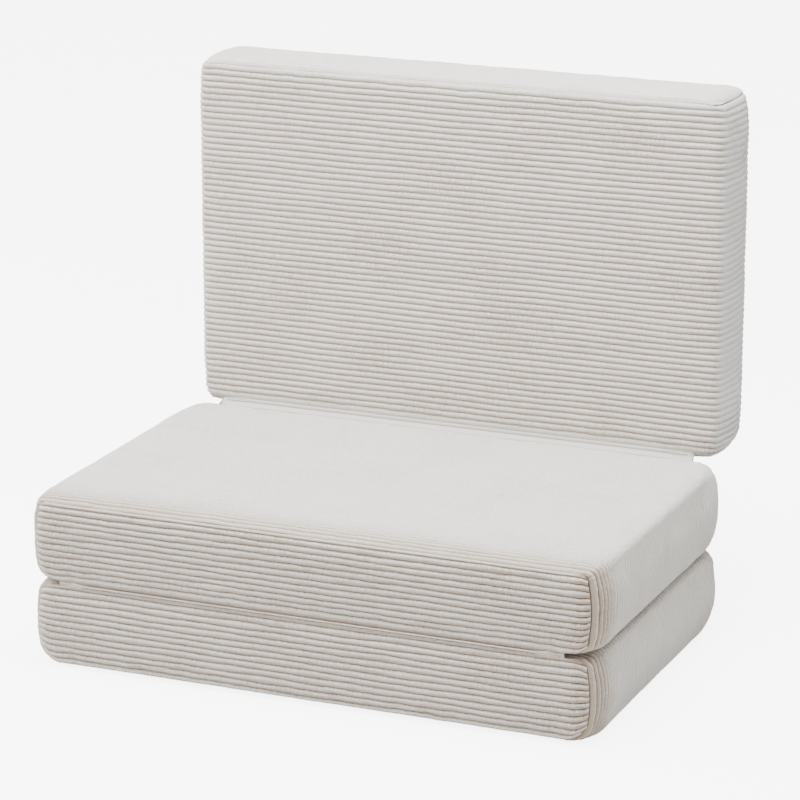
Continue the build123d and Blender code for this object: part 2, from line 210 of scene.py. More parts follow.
class Cloth:
    """Collects grids and caps into one mesh with a UV map, weave, and an attribute, groove, the
    strength of the corduroy's painted groove shade.
    """

    def __init__(self) -> None:
        """Starts with nothing collected."""
        self.points: list[Array] = []
        self.quads: list[Array] = []
        self.quad_uv: list[Array] = []
        self.tris: list[Array] = []
        self.groove: list[Array] = []
        self.size = 0

    def add_grid(self, points: Array, uv: Array, closed: bool = False,
                 flipped: bool = False, groove: Array | float = 1.0) -> Array:
        """Adds a grid of points.

        Args:
            points: rows by columns by 3.
            uv: rows by columns by 2, with one column more where the columns run round.
            closed: whether the columns run round.
            flipped: turns the faces over.
            groove: how strongly painted shade darkens the grooves at each point.

        Returns:
            The indices of the grid's vertices, rows by columns.
        """
        rows, cols = points.shape[:2]
        self.groove.append(np.broadcast_to(groove, (rows, cols)).ravel())
        index = np.arange(rows * cols).reshape(rows, cols) + self.size
        self.points.append(points.reshape(-1, 3))
        self.size += rows * cols
        i, j = np.meshgrid(np.arange(rows - 1), np.arange(cols if closed else cols - 1),
                           indexing="ij")
        i, j = i.ravel(), j.ravel()
        around = [(i, j), (i + 1, j), (i + 1, j + 1), (i, j + 1)]
        if flipped:
            around = around[::-1]
        self.quads.append(np.stack([index[a, b % cols] for a, b in around], axis=1))
        self.quad_uv.append(np.stack([uv[a, b] for a, b in around], axis=1))
        return index

    def add_cap(self, ring: Array, centre: Array, flipped: bool = False) -> None:
        """Closes a ring of vertices with triangles to one point.

        Args:
            ring: vertex indices in order round the opening.
            centre: the point in the middle.
            flipped: turns the faces over.
        """
        self.points.append(np.asarray(centre, float).reshape(1, 3))
        self.groove.append(np.ones(1))
        middle = np.full(len(ring), self.size)
        self.size += 1
        following = np.roll(ring, -1)
        corners = (ring, following, middle) if not flipped else (following, ring, middle)
        self.tris.append(np.stack(corners, axis=1))

    def add_tube(self, points: Array, flipped: bool = False, uv: Array | None = None,
                 ends: tuple[Array, Array] | None = None, groove: Array | float = 1.0) -> None:
        """Adds a grid whose columns run round, closed at both ends.

        Args:
            points: rows by columns by 3.
            flipped: turns the faces over.
            uv: the weave map, or None where the finish has none.
            ends: the middle points of the two ends, or None for the middles of their rings.
            groove: how strongly painted shade darkens the grooves at each point.
        """
        if uv is None:
            uv = np.zeros((points.shape[0], points.shape[1] + 1, 2))
        first, last = ends if ends is not None else (points[0].mean(axis=0),
                                                     points[-1].mean(axis=0))
        index = self.add_grid(points, uv, closed=True, flipped=flipped, groove=groove)
        self.add_cap(index[0], first, flipped=flipped)
        self.add_cap(index[-1], last, flipped=not flipped)

    def build(self, name: str, material: bpy.types.Material) -> bpy.types.Object:
        """Makes the smooth-shaded object from all that was added.

        Args:
            name: the object's name.
            material: its finish.

        Returns:
            The new object, at the origin.
        """
        points = np.concatenate(self.points)
        quads = np.concatenate(self.quads) if self.quads else np.zeros((0, 4), int)
        tris = np.concatenate(self.tris) if self.tris else np.zeros((0, 3), int)
        mesh = bpy.data.meshes.new(name)
        mesh.vertices.add(len(points))
        mesh.vertices.foreach_set("co", points.astype(np.float32).ravel())
        mesh.loops.add(quads.size + tris.size)
        mesh.loops.foreach_set("vertex_index", np.concatenate([quads.ravel(), tris.ravel()]
                                                              ).astype(np.int32))
        mesh.polygons.add(len(quads) + len(tris))
        starts = np.concatenate([np.arange(len(quads)) * 4,
                                 quads.size + np.arange(len(tris)) * 3])
        mesh.polygons.foreach_set("loop_start", starts.astype(np.int32))
        mesh.polygons.foreach_set("use_smooth", np.ones(len(starts), bool))
        mesh.update(calc_edges=True)
        layer = mesh.uv_layers.new(name="weave")
        flat = np.zeros((quads.size + tris.size, 2), np.float32)
        if self.quad_uv:
            flat[:quads.size] = np.concatenate(self.quad_uv).reshape(-1, 2)
        layer.data.foreach_set("uv", flat.ravel())
        # The groove attribute: the strength of the painted groove and wale shade at each point.
        shade_strength = mesh.attributes.new("groove", "FLOAT", "POINT")
        shade_strength.data.foreach_set("value", np.concatenate(self.groove).astype(np.float32))
        mesh.validate()
        mesh.materials.append(material)
        piece = bpy.data.objects.new(name, mesh)
        bpy.context.scene.collection.objects.link(piece)
        return piece


# ---------------------------------------------------------------------------------------
# Shader node groups


def new_group(name: str, inputs: dict[str, float], outputs: dict[str, str]
              ) -> tuple[bpy.types.ShaderNodeTree, bpy.types.Node, bpy.types.Node]:
    """Starts a shader node group with number inputs.

    Args:
        name: the group's name.
        inputs: input names with their values; a name ending in "vector" is a vector.
        outputs: output names with the kind of socket, such as NodeSocketFloat.

    Returns:
        The tree, its input node and its output node.
    """
    tree = bpy.data.node_groups.new(name, "ShaderNodeTree")
    for label, value in inputs.items():
        kind = "NodeSocketVector" if label.endswith("vector") else "NodeSocketFloat"
        socket = tree.interface.new_socket(name=label, in_out="INPUT", socket_type=kind)
        if kind == "NodeSocketFloat":
            socket.default_value = value
    for label, kind in outputs.items():
        tree.interface.new_socket(name=label, in_out="OUTPUT", socket_type=kind)
    return tree, tree.nodes.new("NodeGroupInput"), tree.nodes.new("NodeGroupOutput")


def feed(tree: bpy.types.NodeTree, value: object, entry: bpy.types.NodeSocket) -> None:
    """Links a socket to a node's input, or sets the input to a value."""
    if isinstance(value, bpy.types.NodeSocket):
        tree.links.new(value, entry)
    else:
        entry.default_value = value


def calc(tree: bpy.types.NodeTree, operation: str, *values: object) -> bpy.types.NodeSocket:
    """Adds a Math node.

    Args:
        tree: the node tree.
        operation: the Math node's operation.
        values: sockets or numbers for its inputs, in order.

    Returns:
        The node's output socket.
    """
    node = tree.nodes.new("ShaderNodeMath")
    node.operation = operation
    for slot, value in enumerate(values):
        feed(tree, value, node.inputs[slot])
    return node.outputs[0]


def ramp(tree: bpy.types.NodeTree, value: bpy.types.NodeSocket, low: float, high: float,
         start: float = 0.0, end: float = 1.0) -> bpy.types.NodeSocket:
    """Adds a smooth Map Range node from low..high to start..end and returns its output."""
    node = tree.nodes.new("ShaderNodeMapRange")
    node.interpolation_type = "SMOOTHSTEP"
    tree.links.new(value, node.inputs["Value"])
    node.inputs["From Min"].default_value = low
    node.inputs["From Max"].default_value = high
    node.inputs["To Min"].default_value = start
    node.inputs["To Max"].default_value = end
    return node.outputs["Result"]


def split_xyz(tree: bpy.types.NodeTree, vector: bpy.types.NodeSocket
              ) -> bpy.types.bpy_prop_collection:
    """Adds a Separate XYZ node and returns its three outputs."""
    node = tree.nodes.new("ShaderNodeSeparateXYZ")
    tree.links.new(vector, node.inputs[0])
    return node.outputs


def join_xyz(tree: bpy.types.NodeTree, x: object, y: object, z: object
             ) -> bpy.types.NodeSocket:
    """Adds a Combine XYZ node from sockets or numbers and returns its output."""
    node = tree.nodes.new("ShaderNodeCombineXYZ")
    for slot, value in enumerate((x, y, z)):
        feed(tree, value, node.inputs[slot])
    return node.outputs[0]


def noise(tree: bpy.types.NodeTree, vector: bpy.types.NodeSocket, scale: float,
          detail: float = 2.0, roughness: float = 0.5) -> bpy.types.NodeSocket:
    """Adds a Noise Texture and returns its value, about 0 to 1."""
    node = tree.nodes.new("ShaderNodeTexNoise")
    tree.links.new(vector, node.inputs["Vector"])
    node.inputs["Scale"].default_value = scale
    node.inputs["Detail"].default_value = detail
    node.inputs["Roughness"].default_value = roughness
    return node.outputs["Fac"]


def blend_colour(tree: bpy.types.NodeTree, share: bpy.types.NodeSocket, first: object,
                 second: object) -> bpy.types.NodeSocket:
    """Adds a Mix node for colours, from first at share 0 to second at 1; returns its output."""
    node = tree.nodes.new("ShaderNodeMix")
    node.data_type = "RGBA"
    tree.links.new(share, node.inputs["Factor"])
    for slot, value in ((6, first), (7, second)):
        feed(tree, (*value, 1.0) if isinstance(value, tuple) else value, node.inputs[slot])
    return node.outputs[2]


class NodeGroups:
    """The shared shader effects, each built once."""

    def __init__(self) -> None:
        """Builds the groups."""
        self.wale = self._wale()
        self.pile = self._pile()
        self.fuzz = self._fuzz()

    def _wale(self) -> bpy.types.ShaderNodeTree:
        """Masks across the wales for painted shade: the groove's thin line, and each wale's lower
        side, which light from above leaves darker and where the pile lies a little darker too.
        """
        tree, entry, leave = new_group(
            "wale_grooves", {"Weave vector": 0.0, "Groove width": 0.35, "Nap height": 0.5},
            {"Groove": "NodeSocketFloat", "Nap": "NodeSocketFloat"})
        along, across, _ = split_xyz(tree, entry.outputs["Weave vector"])
        ragged = noise(tree, join_xyz(tree, calc(tree, "MULTIPLY", along, 170.0),
                                      calc(tree, "MULTIPLY", across, 2.0), 0.0), 1.0, 2.0)
        shift = calc(tree, "MULTIPLY_ADD", ragged, 0.24, -0.12)
        phase = calc(tree, "FRACT", calc(tree, "ADD", across, shift))
        # Groove: the thin line in each groove, where painted shade goes.
        away = calc(tree, "ABSOLUTE", calc(tree, "MULTIPLY_ADD", phase, 2.0, -1.0))
        edge = calc(tree, "SUBTRACT", 1.0, entry.outputs["Groove width"])
        past = calc(tree, "DIVIDE", calc(tree, "SUBTRACT", away, edge),
                    entry.outputs["Groove width"])
        tree.links.new(ramp(tree, past, 0.0, 1.0), leave.inputs["Groove"])
        # Nap: each wale's lower side, from its groove up, where painted shade from above goes,
        # with some of the pile's darker lie.
        up = calc(tree, "DIVIDE", phase, entry.outputs["Nap height"])
        tree.links.new(ramp(tree, up, 0.25, 1.0, 1.0, 0.0), leave.inputs["Nap"])
        return tree

    def _pile(self) -> bpy.types.ShaderNodeTree:
        """Short strokes of pile across each wale, stronger in patches, and fine fibres."""
        tree, entry, leave = new_group(
            "pile_strokes", {"Weave vector": 0.0, "Strokes per metre": 300.0,
                             "Patch size": 5.0},
            {"Strokes": "NodeSocketFloat", "Patches": "NodeSocketFloat",
             "Specks": "NodeSocketFloat", "Height": "NodeSocketFloat"})
        along, across, _ = split_xyz(tree, entry.outputs["Weave vector"])
        row = calc(tree, "FLOOR", across)
        stroke_at = join_xyz(
            tree, calc(tree, "MULTIPLY", along, entry.outputs["Strokes per metre"]),
            calc(tree, "MULTIPLY", across, 1.1), calc(tree, "MULTIPLY", row, 7.31))
        strokes = noise(tree, stroke_at, 1.0, 2.0, 0.6)
        patch_at = join_xyz(tree, calc(tree, "MULTIPLY", along, entry.outputs["Patch size"]),
                            calc(tree, "MULTIPLY", across, 0.09), 3.7)
        patches = ramp(tree, noise(tree, patch_at, 1.0, 3.0, 0.6), 0.42, 0.66)
        fibre_at = join_xyz(tree, calc(tree, "MULTIPLY", along, 1500.0),
                            calc(tree, "MULTIPLY", across, 9.0), 0.0)
        fibres = noise(tree, fibre_at, 1.0, 2.0, 0.6)
        speck_at = join_xyz(tree, calc(tree, "MULTIPLY", along, 480.0),
                            calc(tree, "MULTIPLY", across, 4.2), 9.1)
        specks = noise(tree, speck_at, 1.0, 3.0, 0.7)
        tree.links.new(ramp(tree, strokes, 0.3, 0.7), leave.inputs["Strokes"])
        tree.links.new(ramp(tree, specks, 0.46, 0.68), leave.inputs["Specks"])
        tree.links.new(patches, leave.inputs["Patches"])
        tall = calc(tree, "MULTIPLY", strokes, calc(tree, "MULTIPLY_ADD", patches, 0.6, 0.7))
        tall = calc(tree, "MULTIPLY_ADD", specks, 0.6, tall)
        tree.links.new(calc(tree, "MULTIPLY_ADD", fibres, 0.3, tall), leave.inputs["Height"])
        return tree

    def _fuzz(self) -> bpy.types.ShaderNodeTree:
        """Fine grain at a given size on the object's own coordinates, as a value and a height."""
        tree, entry, leave = new_group(
            "fine_grain", {"Place vector": 0.0, "Grain": 900.0},
            {"Value": "NodeSocketFloat", "Height": "NodeSocketFloat"})
        node = tree.nodes.new("ShaderNodeTexNoise")
        tree.links.new(entry.outputs["Place vector"], node.inputs["Vector"])
        tree.links.new(entry.outputs["Grain"], node.inputs["Scale"])
        node.inputs["Detail"].default_value = 3.0
        slow = noise(tree, entry.outputs["Place vector"], 14.0, 2.0)
        tree.links.new(calc(tree, "MULTIPLY_ADD", slow, 0.5,
                            calc(tree, "MULTIPLY", node.outputs["Fac"], 0.5)),
                       leave.inputs["Value"])
        tree.links.new(node.outputs["Fac"], leave.inputs["Height"])
        return tree


class MaterialSheet:
    """A new material with its Principled shader, ready for its links."""

    def __init__(self, name: str) -> None:
        """Starts an empty material.

        Args:
            name: the material's name.
        """
        self.material = bpy.data.materials.new(name)
        self.material.use_nodes = True
        self.tree = self.material.node_tree
        self.tree.nodes.clear()
        self.shader = self.tree.nodes.new("ShaderNodeBsdfPrincipled")
        leave = self.tree.nodes.new("ShaderNodeOutputMaterial")
        self.tree.links.new(self.shader.outputs[0], leave.inputs["Surface"])

    def set(self, **values: object) -> None:
        """Sets the shader's own sockets, with underscores for the spaces in their names."""
        for label, value in values.items():
            self.shader.inputs[label.replace("_", " ").title().replace("Ior", "IOR")
                               ].default_value = value

    def group(self, tree: bpy.types.ShaderNodeTree, **values: float) -> bpy.types.Node:
        """Places a shared group with its own input values.

        Args:
            tree: the group.
            values: input values by name, with underscores for spaces.

        Returns:
            The group node.
        """
        node = self.tree.nodes.new("ShaderNodeGroup")
        node.node_tree = tree
        for label, value in values.items():
            node.inputs[label.replace("_", " ")].default_value = value
        return node

    def bump(self, height: bpy.types.NodeSocket, distance: float, strength: float) -> None:
        """Feeds a height through a Bump node to the shader's normal.

        Args:
            height: the height socket.
            distance: what a height of 1 means, in metres.
            strength: how strongly it shows.
        """
        node = self.tree.nodes.new("ShaderNodeBump")
        node.inputs["Distance"].default_value = distance
        node.inputs["Strength"].default_value = strength
        self.tree.links.new(height, node.inputs["Height"])
        self.tree.links.new(node.outputs[0], self.shader.inputs["Normal"])

    def link_colour(self, socket: bpy.types.NodeSocket) -> None:
        """Feeds a colour to the shader."""
        self.tree.links.new(socket, self.shader.inputs["Base Color"])

    def coordinates(self, kind: str) -> bpy.types.NodeSocket:
        """The object's own coordinates, or the weave map's."""
        if kind == "weave":
            node = self.tree.nodes.new("ShaderNodeUVMap")
            node.uv_map = "weave"
            return node.outputs[0]
        return self.tree.nodes.new("ShaderNodeTexCoord").outputs["Object"]


@dataclass(frozen=True)
class CorduroyFinish:
    """Cream wide-wale corduroy: pale crests, short strokes of pile, and warm taupe painted shade
    in the grooves and on each wale's lower side, where the pile also lies a little darker.
    """

    crest: tuple[float, float, float] = (0.86, 0.845, 0.81)
    stroke: tuple[float, float, float] = (0.56, 0.50, 0.43)
    # The lower-side colour: painted shade on each wale's lower side, for light from above, with
    # some of the pile's own darker lie.
    nap_and_shade: tuple[float, float, float] = (0.46, 0.375, 0.29)
    # The groove colour: painted shade in the grooves, with the cloth's warm tone.
    groove: tuple[float, float, float] = (0.28, 0.19, 0.135)
    # Widths and shares of the painted shade in the grooves and on the wales' lower sides.
    groove_width: float = 0.44
    groove_share: float = 0.78
    nap_and_shade_height: float = 0.80
    nap_and_shade_share: float = 0.95
    speck_share: float = 0.30
    strokes_per_metre: float = 310.0
    patch_size: float = 6.0
    pile_height: float = 0.0016

    def material(self, groups: NodeGroups) -> bpy.types.Material:
        """Builds the corduroy material on the weave map, its painted groove and wale shade scaled
        by their attribute.
        """
        sheet = MaterialSheet("corduroy")
        tree = sheet.tree
        weave = sheet.coordinates("weave")
        wale = sheet.group(groups.wale, Groove_width=self.groove_width,
                           Nap_height=self.nap_and_shade_height)
        pile = sheet.group(groups.pile, Strokes_per_metre=self.strokes_per_metre,
                           Patch_size=self.patch_size)
        # The attribute node: the strength of the painted shade in the grooves and on the wales'
        # lower sides.
        shade_strength = tree.nodes.new("ShaderNodeAttribute")
        shade_strength.attribute_name = "groove"
        tree.links.new(weave, wale.inputs["Weave vector"])
        tree.links.new(weave, pile.inputs["Weave vector"])
        mark = calc(tree, "MULTIPLY", pile.outputs["Strokes"],
                    calc(tree, "MULTIPLY_ADD", pile.outputs["Patches"], 0.50, 0.35))
        # The pile strokes are scaled with the painted shade's strength.
        mark = calc(tree, "MULTIPLY", mark, calc(tree, "MULTIPLY_ADD", shade_strength.outputs["Fac"],
                                                 0.75, 0.25))
        top = blend_colour(tree, calc(tree, "MULTIPLY", pile.outputs["Specks"],
                                      self.speck_share), self.crest, self.stroke)
        top = blend_colour(tree, mark, top, self.stroke)
        # Painted shade: each wale's lower side takes the nap colour, then the groove line the
        # groove colour, both by the attribute's strength.
        nap_and_shade_mask = calc(tree, "MULTIPLY", wale.outputs["Nap"], shade_strength.outputs["Fac"])
        side = blend_colour(tree, calc(tree, "MULTIPLY", nap_and_shade_mask, self.nap_and_shade_share), top,
                            self.nap_and_shade)
        low = calc(tree, "MULTIPLY", wale.outputs["Groove"], shade_strength.outputs["Fac"])
        sheet.link_colour(blend_colour(tree, calc(tree, "MULTIPLY", low, self.groove_share),
                                       side, self.groove))
        sheet.bump(pile.outputs["Height"], self.pile_height, 0.9)
        sheet.set(roughness=0.92, sheen_weight=0.22, sheen_roughness=0.45,
                  specular_ior_level=0.25)
        sheet.shader.inputs["Sheen Tint"].default_value = (1.0, 0.98, 0.96, 1.0)
        return sheet.material


@dataclass(frozen=True)
class GrainFinish:
    """A plain finish with a fine grain, for foam, tape, thread, nylon and painted metal."""

    name: str
    light: tuple[float, float, float]
    dark: tuple[float, float, float]
    roughness: float
    metallic: float = 0.0
    grain: float = 900.0
    depth: float = 0.0002
    sheen: float = 0.0
    coat: float = 0.0

    def material(self, groups: NodeGroups) -> bpy.types.Material:
        """Builds the material on the object's own coordinates."""
        sheet = MaterialSheet(self.name)
        grain = sheet.group(groups.fuzz, Grain=self.grain)
        sheet.tree.links.new(sheet.coordinates("object"), grain.inputs["Place vector"])
        sheet.link_colour(blend_colour(sheet.tree, grain.outputs["Value"], self.dark,
                                       self.light))
        sheet.bump(grain.outputs["Height"], self.depth, 0.6)
        sheet.set(roughness=self.roughness, metallic=self.metallic,
                  sheen_weight=self.sheen, coat_weight=self.coat)
        return sheet.material


@dataclass(frozen=True)
class FloorFinish:
    """The studio's pale floor, which is overexposed to the camera alone."""

    pale: float = 0.74
    glow: float = 6.0

    def material(self) -> bpy.types.Material:
        """Builds the material: plain, with a white glow on camera rays."""
        sheet = MaterialSheet("studio_floor")
        rays = sheet.tree.nodes.new("ShaderNodeLightPath")
        glow = blend_colour(sheet.tree, rays.outputs["Is Camera Ray"], (0.0, 0.0, 0.0),
                            (1.0, 1.0, 1.0))
        sheet.tree.links.new(glow, sheet.shader.inputs["Emission Color"])
        sheet.set(base_color=(self.pale, self.pale, self.pale, 1.0), roughness=0.85,
                  emission_strength=self.glow)
        return sheet.material


@dataclass(frozen=True)
class Finishes:
    """Every material of the mattress and its stage."""

    corduroy: bpy.types.Material
    comfort_foam: bpy.types.Material
    support_foam: bpy.types.Material
    fold_tape: bpy.types.Material
    thread: bpy.types.Material
    zip_tape: bpy.types.Material
    zip_coil: bpy.types.Material
    zip_metal: bpy.types.Material
    floor: bpy.types.Material


def make_finishes() -> Finishes:
    """Builds the shared groups and every material."""
    groups = NodeGroups()
    return Finishes(
        corduroy=CorduroyFinish().material(groups),
        comfort_foam=GrainFinish("comfort_foam", (0.80, 0.77, 0.69), (0.66, 0.62, 0.53),
                                 0.95, grain=1400.0, depth=0.0005).material(groups),
        support_foam=GrainFinish("support_foam", (0.72, 0.69, 0.58), (0.58, 0.54, 0.43),
                                 0.95, grain=900.0, depth=0.0006).material(groups),
        fold_tape=GrainFinish("fold_tape", (0.74, 0.725, 0.70), (0.64, 0.615, 0.58),
                              0.9, grain=1600.0, depth=0.0003, sheen=0.2).material(groups),
        thread=GrainFinish("stitch_thread", (0.56, 0.38, 0.29), (0.38, 0.23, 0.17),
                           0.7, grain=2600.0, depth=0.0002).material(groups),
        zip_tape=GrainFinish("zip_tape", (0.70, 0.67, 0.61), (0.58, 0.54, 0.48),
                             0.9, grain=2200.0, depth=0.0003, sheen=0.15).material(groups),
        zip_coil=GrainFinish("zip_coil", (0.72, 0.69, 0.63), (0.62, 0.58, 0.52),
                             0.42, grain=600.0, depth=0.00005).material(groups),
        zip_metal=GrainFinish("zip_metal", (0.74, 0.71, 0.66), (0.64, 0.61, 0.56),
                              0.36, metallic=0.35, grain=500.0, depth=0.00004, coat=0.3
                              ).material(groups),
        floor=FloorFinish().material(),
    )


# ---------------------------------------------------------------------------------------
# The cushion form


@dataclass(frozen=True)
class Ending:
    """How one end of a section is drawn in: at its width, its two faces and its corners."""

    draw_in: float
    low_pinch: float
    high_pinch: float
    low_corner: float
    high_corner: float


@dataclass(frozen=True)
class GrooveLook:
    """How strongly painted shade darkens a wrap's grooves on its faces, its sides and beside its
    seams, set face by face for how light falls on it.
    """

    low: float
    high: float
    side: float
    first: float
    last: float
    reach: float


@dataclass(frozen=True)
class Outline:
    """A section's cross-section, as arrays: its side, faces, corner radii and bows."""

    half: Array
    low: Array
    high: Array
    low_radius: Array
    high_radius: Array
    low_bow: Array
    high_bow: Array

    def low_at(self, across: Array) -> Array:
        """Level of the low face: a parabola across the width."""
        return self.low - self.low_bow * (1.0 - (across / self.half) ** 2)

    def high_at(self, across: Array) -> Array:
        """Level of the high face: a parabola across the width."""
        return self.high + self.high_bow * (1.0 - (across / self.half) ** 2)

    def side_at(self, level: Array) -> Array:
        """How far out the side is at a level: a parabola between the two faces."""
        middle = (self.low + self.high) / 2
        reach = (self.high - self.low) / 2
        return self.half + SIDE_BOW * (1.0 - ((level - middle) / reach) ** 2)

    @property
    def low_corner(self) -> Array:
        """Level of the low face where its rounded corners begin."""
        return self.low_at(self.half - self.low_radius)

    @property
    def high_corner(self) -> Array:
        """Level of the high face where its rounded corners begin."""
        return self.high_at(self.half - self.high_radius)

    @property
    def low_centre(self) -> Array:
        """How far out the low corners' centres are."""
        return self.side_at(self.low_corner + self.low_radius) - self.low_radius

    @property
    def high_centre(self) -> Array:
        """How far out the high corners' centres are."""
        return self.side_at(self.high_corner - self.high_radius) - self.high_radius


@dataclass(frozen=True)
class CushionForm:
    """The rounded, drawn-in form of one padded section; its last fields fade its ends in."""

    name: str
    lie: Lie
    start: float
    low_face: float
    low_gap: float
    spread: float
    low_edge: float
    high_edge: float
    first: Ending
    last: Ending
    low_crown: float
    high_crown: float
    comfort_is_high: bool
    seed: int
    look: GrooveLook
    slow_fade: float = 0.074
    quick_fade: float = 0.018
    crown_fade: float = 0.045
    bow_fade: float = 0.070

    @property
    def turned(self) -> bool:
        """Whether a grid of rows along and columns round has its faces turned over."""
        return self.lie is Lie.UPRIGHT

    @property
    def lengthwise(self) -> Array:
        """The direction of the section's length in the frame."""
        return self.place(0.0, 1.0, 0.0) - self.place(0.0, 0.0, 0.0)

    def place(self, across: Array, along: Array, level: Array) -> Array:
        """Puts section coordinates in the frame.

        Args:
            across: from the middle, to the right.
            along: from the section's start.
            level: from the low face.

        Returns:
            Points, with a last axis of 3.
        """
        across, along, level = np.broadcast_arrays(across, along, level)
        if self.lie is Lie.FLAT:
            return np.stack([across, self.start + along, self.low_face + level], axis=-1)
        return np.stack([across, self.low_face + level, self.start + along], axis=-1)

    def outline(self, along: Array, inset: float = 0.0) -> Outline:
        """The cross-section along the section.

        Half of the draw-in fades slowly from each end seam, as the share of its reach that is
        left to the power 1.7, and half over a quick quarter circle. A crowned face falls
        towards its seams by seven tenths of an exponential and three tenths of the quarter
        circle, and its bow across the width grows back by an exponential.

        Args:
            along: positions along the section.
            inset: how far inside the outer face.

        Returns:
            The outline at each position.
        """
        near = np.clip(along - END_DEPTH, 0.0, None)
        far = np.clip(LENGTH - END_DEPTH - along, 0.0, None)
        slow = [np.clip(1.0 - d / self.slow_fade, 0.0, 1.0) ** 1.7 for d in (near, far)]
        quick = [1.0 - np.sqrt(1.0 - np.clip(1.0 - d / self.quick_fade, 0.0, 1.0) ** 2)
                 for d in (near, far)]
        drawn = [0.5 * a + 0.5 * b for a, b in zip(slow, quick)]
        fallen = [0.7 * np.exp(-d / self.crown_fade) + 0.3 * b
                  for d, b in zip((near, far), quick)]
        grown = 1.0 - 0.75 * (np.exp(-near / self.bow_fade) + np.exp(-far / self.bow_fade))
        low_share = fallen if self.low_crown else drawn
        high_share = fallen if self.high_crown else drawn
        draw = self.first.draw_in * drawn[0] + self.last.draw_in * drawn[1] + inset
        low = self.low_gap + inset + (self.first.low_pinch * low_share[0]
                                      + self.last.low_pinch * low_share[1])
        high = THICKNESS - HALF_GAP - inset - (self.first.high_pinch * high_share[0]
                                               + self.last.high_pinch * high_share[1])
        low_radius = self.low_edge + ((self.first.low_corner - self.low_edge) * slow[0]
                                      + (self.last.low_corner - self.low_edge) * slow[1])
        high_radius = self.high_edge + ((self.first.high_corner - self.high_edge) * slow[0]
                                        + (self.last.high_corner - self.high_edge) * slow[1])
        low_bow = self.low_crown * grown
        high_bow = self.high_crown * grown
        return Outline(HALF_WIDTH + self.spread - draw, low + low_bow, high - high_bow,
                       low_radius - inset, high_radius - inset, low_bow, high_bow)

    def ring(self, along: Array, run: Array, share: Array, inset: float = 0.0) -> Array:
        """Points round the section: straight or bowed faces joined by quarter circles.

        Args:
            along: positions along the section.
            run: the run that each column is on, as its Run number.
            share: how far along its run each column is, from 0 to 1.
            inset: how far inside the outer face.

        Returns:
            Points in the frame.
        """
        o = self.outline(along, inset)
        bottom, top = o.low_corner + o.low_radius, o.high_corner - o.high_radius
        rise = bottom + (top - bottom) * share
        fall = top - (top - bottom) * share
        low_straight = o.low_centre * (2.0 * share - 1.0)
        high_straight = o.high_centre * (2.0 * share - 1.0)
        turn = share * math.pi / 2
        sin, cos = np.sin(turn), np.cos(turn)
        low_out, high_out = o.low_centre, o.high_centre
        on_run = [run == number for number in Run]
        across = np.select(on_run, [
            low_straight, low_out + o.low_radius * sin, o.side_at(rise),
            high_out + o.high_radius * cos, -high_straight, -high_out - o.high_radius * sin,
            -o.side_at(fall), -low_out - o.low_radius * cos])
        level = np.select(on_run, [
            o.low_at(low_straight), bottom - o.low_radius * cos, rise,
            top + o.high_radius * sin, o.high_at(high_straight), top + o.high_radius * cos,
            fall, bottom - o.low_radius * sin])
        return self.place(across, along, level)


def base_form() -> CushionForm:
    """The base, flat on the floor."""
    return CushionForm(
        "base", Lie.FLAT, start=-LENGTH / 2 + HALF_GAP, low_face=0.0, low_gap=0.0,
        spread=0.007, low_edge=0.020, high_edge=0.017,
        first=Ending(draw_in=0.015, low_pinch=0.002, high_pinch=0.0011, low_corner=0.042,
                     high_corner=0.026),
        last=Ending(draw_in=0.012, low_pinch=0.002, high_pinch=0.0045, low_corner=0.034,
                    high_corner=0.034),
        low_crown=0.0, high_crown=0.0, comfort_is_high=True, seed=11,
        # look: the strength of the painted groove shade on each face, full by the front seam.
        look=GrooveLook(low=0.5, high=0.5, side=0.3, first=1.0, last=0.5, reach=0.045))


def seat_form() -> CushionForm:
    """The seat, folded over on top of the base."""
    return CushionForm(
        "seat", Lie.FLAT, start=-LENGTH / 2 + HALF_GAP, low_face=THICKNESS, low_gap=HALF_GAP,
        spread=0.011, low_edge=0.017, high_edge=0.014,
        first=Ending(draw_in=0.019, low_pinch=0.0011, high_pinch=0.0065, low_corner=0.026,
                     high_corner=0.018),
        last=Ending(draw_in=0.016, low_pinch=0.0045, high_pinch=0.0011, low_corner=0.034,
                    high_corner=0.034),
        low_crown=0.0, high_crown=0.003, comfort_is_high=False, seed=23,
        # look: the strength of the painted groove shade, full by the front seam and weak on the
        # top and sides that light falls on.
        look=GrooveLook(low=0.5, high=0.22, side=0.3, first=1.0, last=0.2, reach=0.045))


def back_form() -> CushionForm:
    """The back, standing up behind the seat."""
    start = 2 * THICKNESS - OVERHANG + 3 * HALF_GAP
    return CushionForm(
        "back", Lie.UPRIGHT, start=start, low_face=LENGTH / 2 + OVERHANG, low_gap=HALF_GAP,
        spread=0.0, low_edge=0.017, high_edge=0.020,
        first=Ending(draw_in=0.013, low_pinch=0.0011, high_pinch=0.0045, low_corner=0.016,
                     high_corner=0.016),
        last=Ending(draw_in=0.014, low_pinch=0.002, high_pinch=0.003, low_corner=0.020,
                    high_corner=0.026),
        low_crown=0.003, high_crown=0.003, comfort_is_high=True, seed=37,
        # look: the strength of the painted groove shade, strong on the faces and weak on the
        # sides and by the ends.
        look=GrooveLook(low=0.8, high=0.8, side=0.15, first=0.3, last=0.35, reach=0.009))


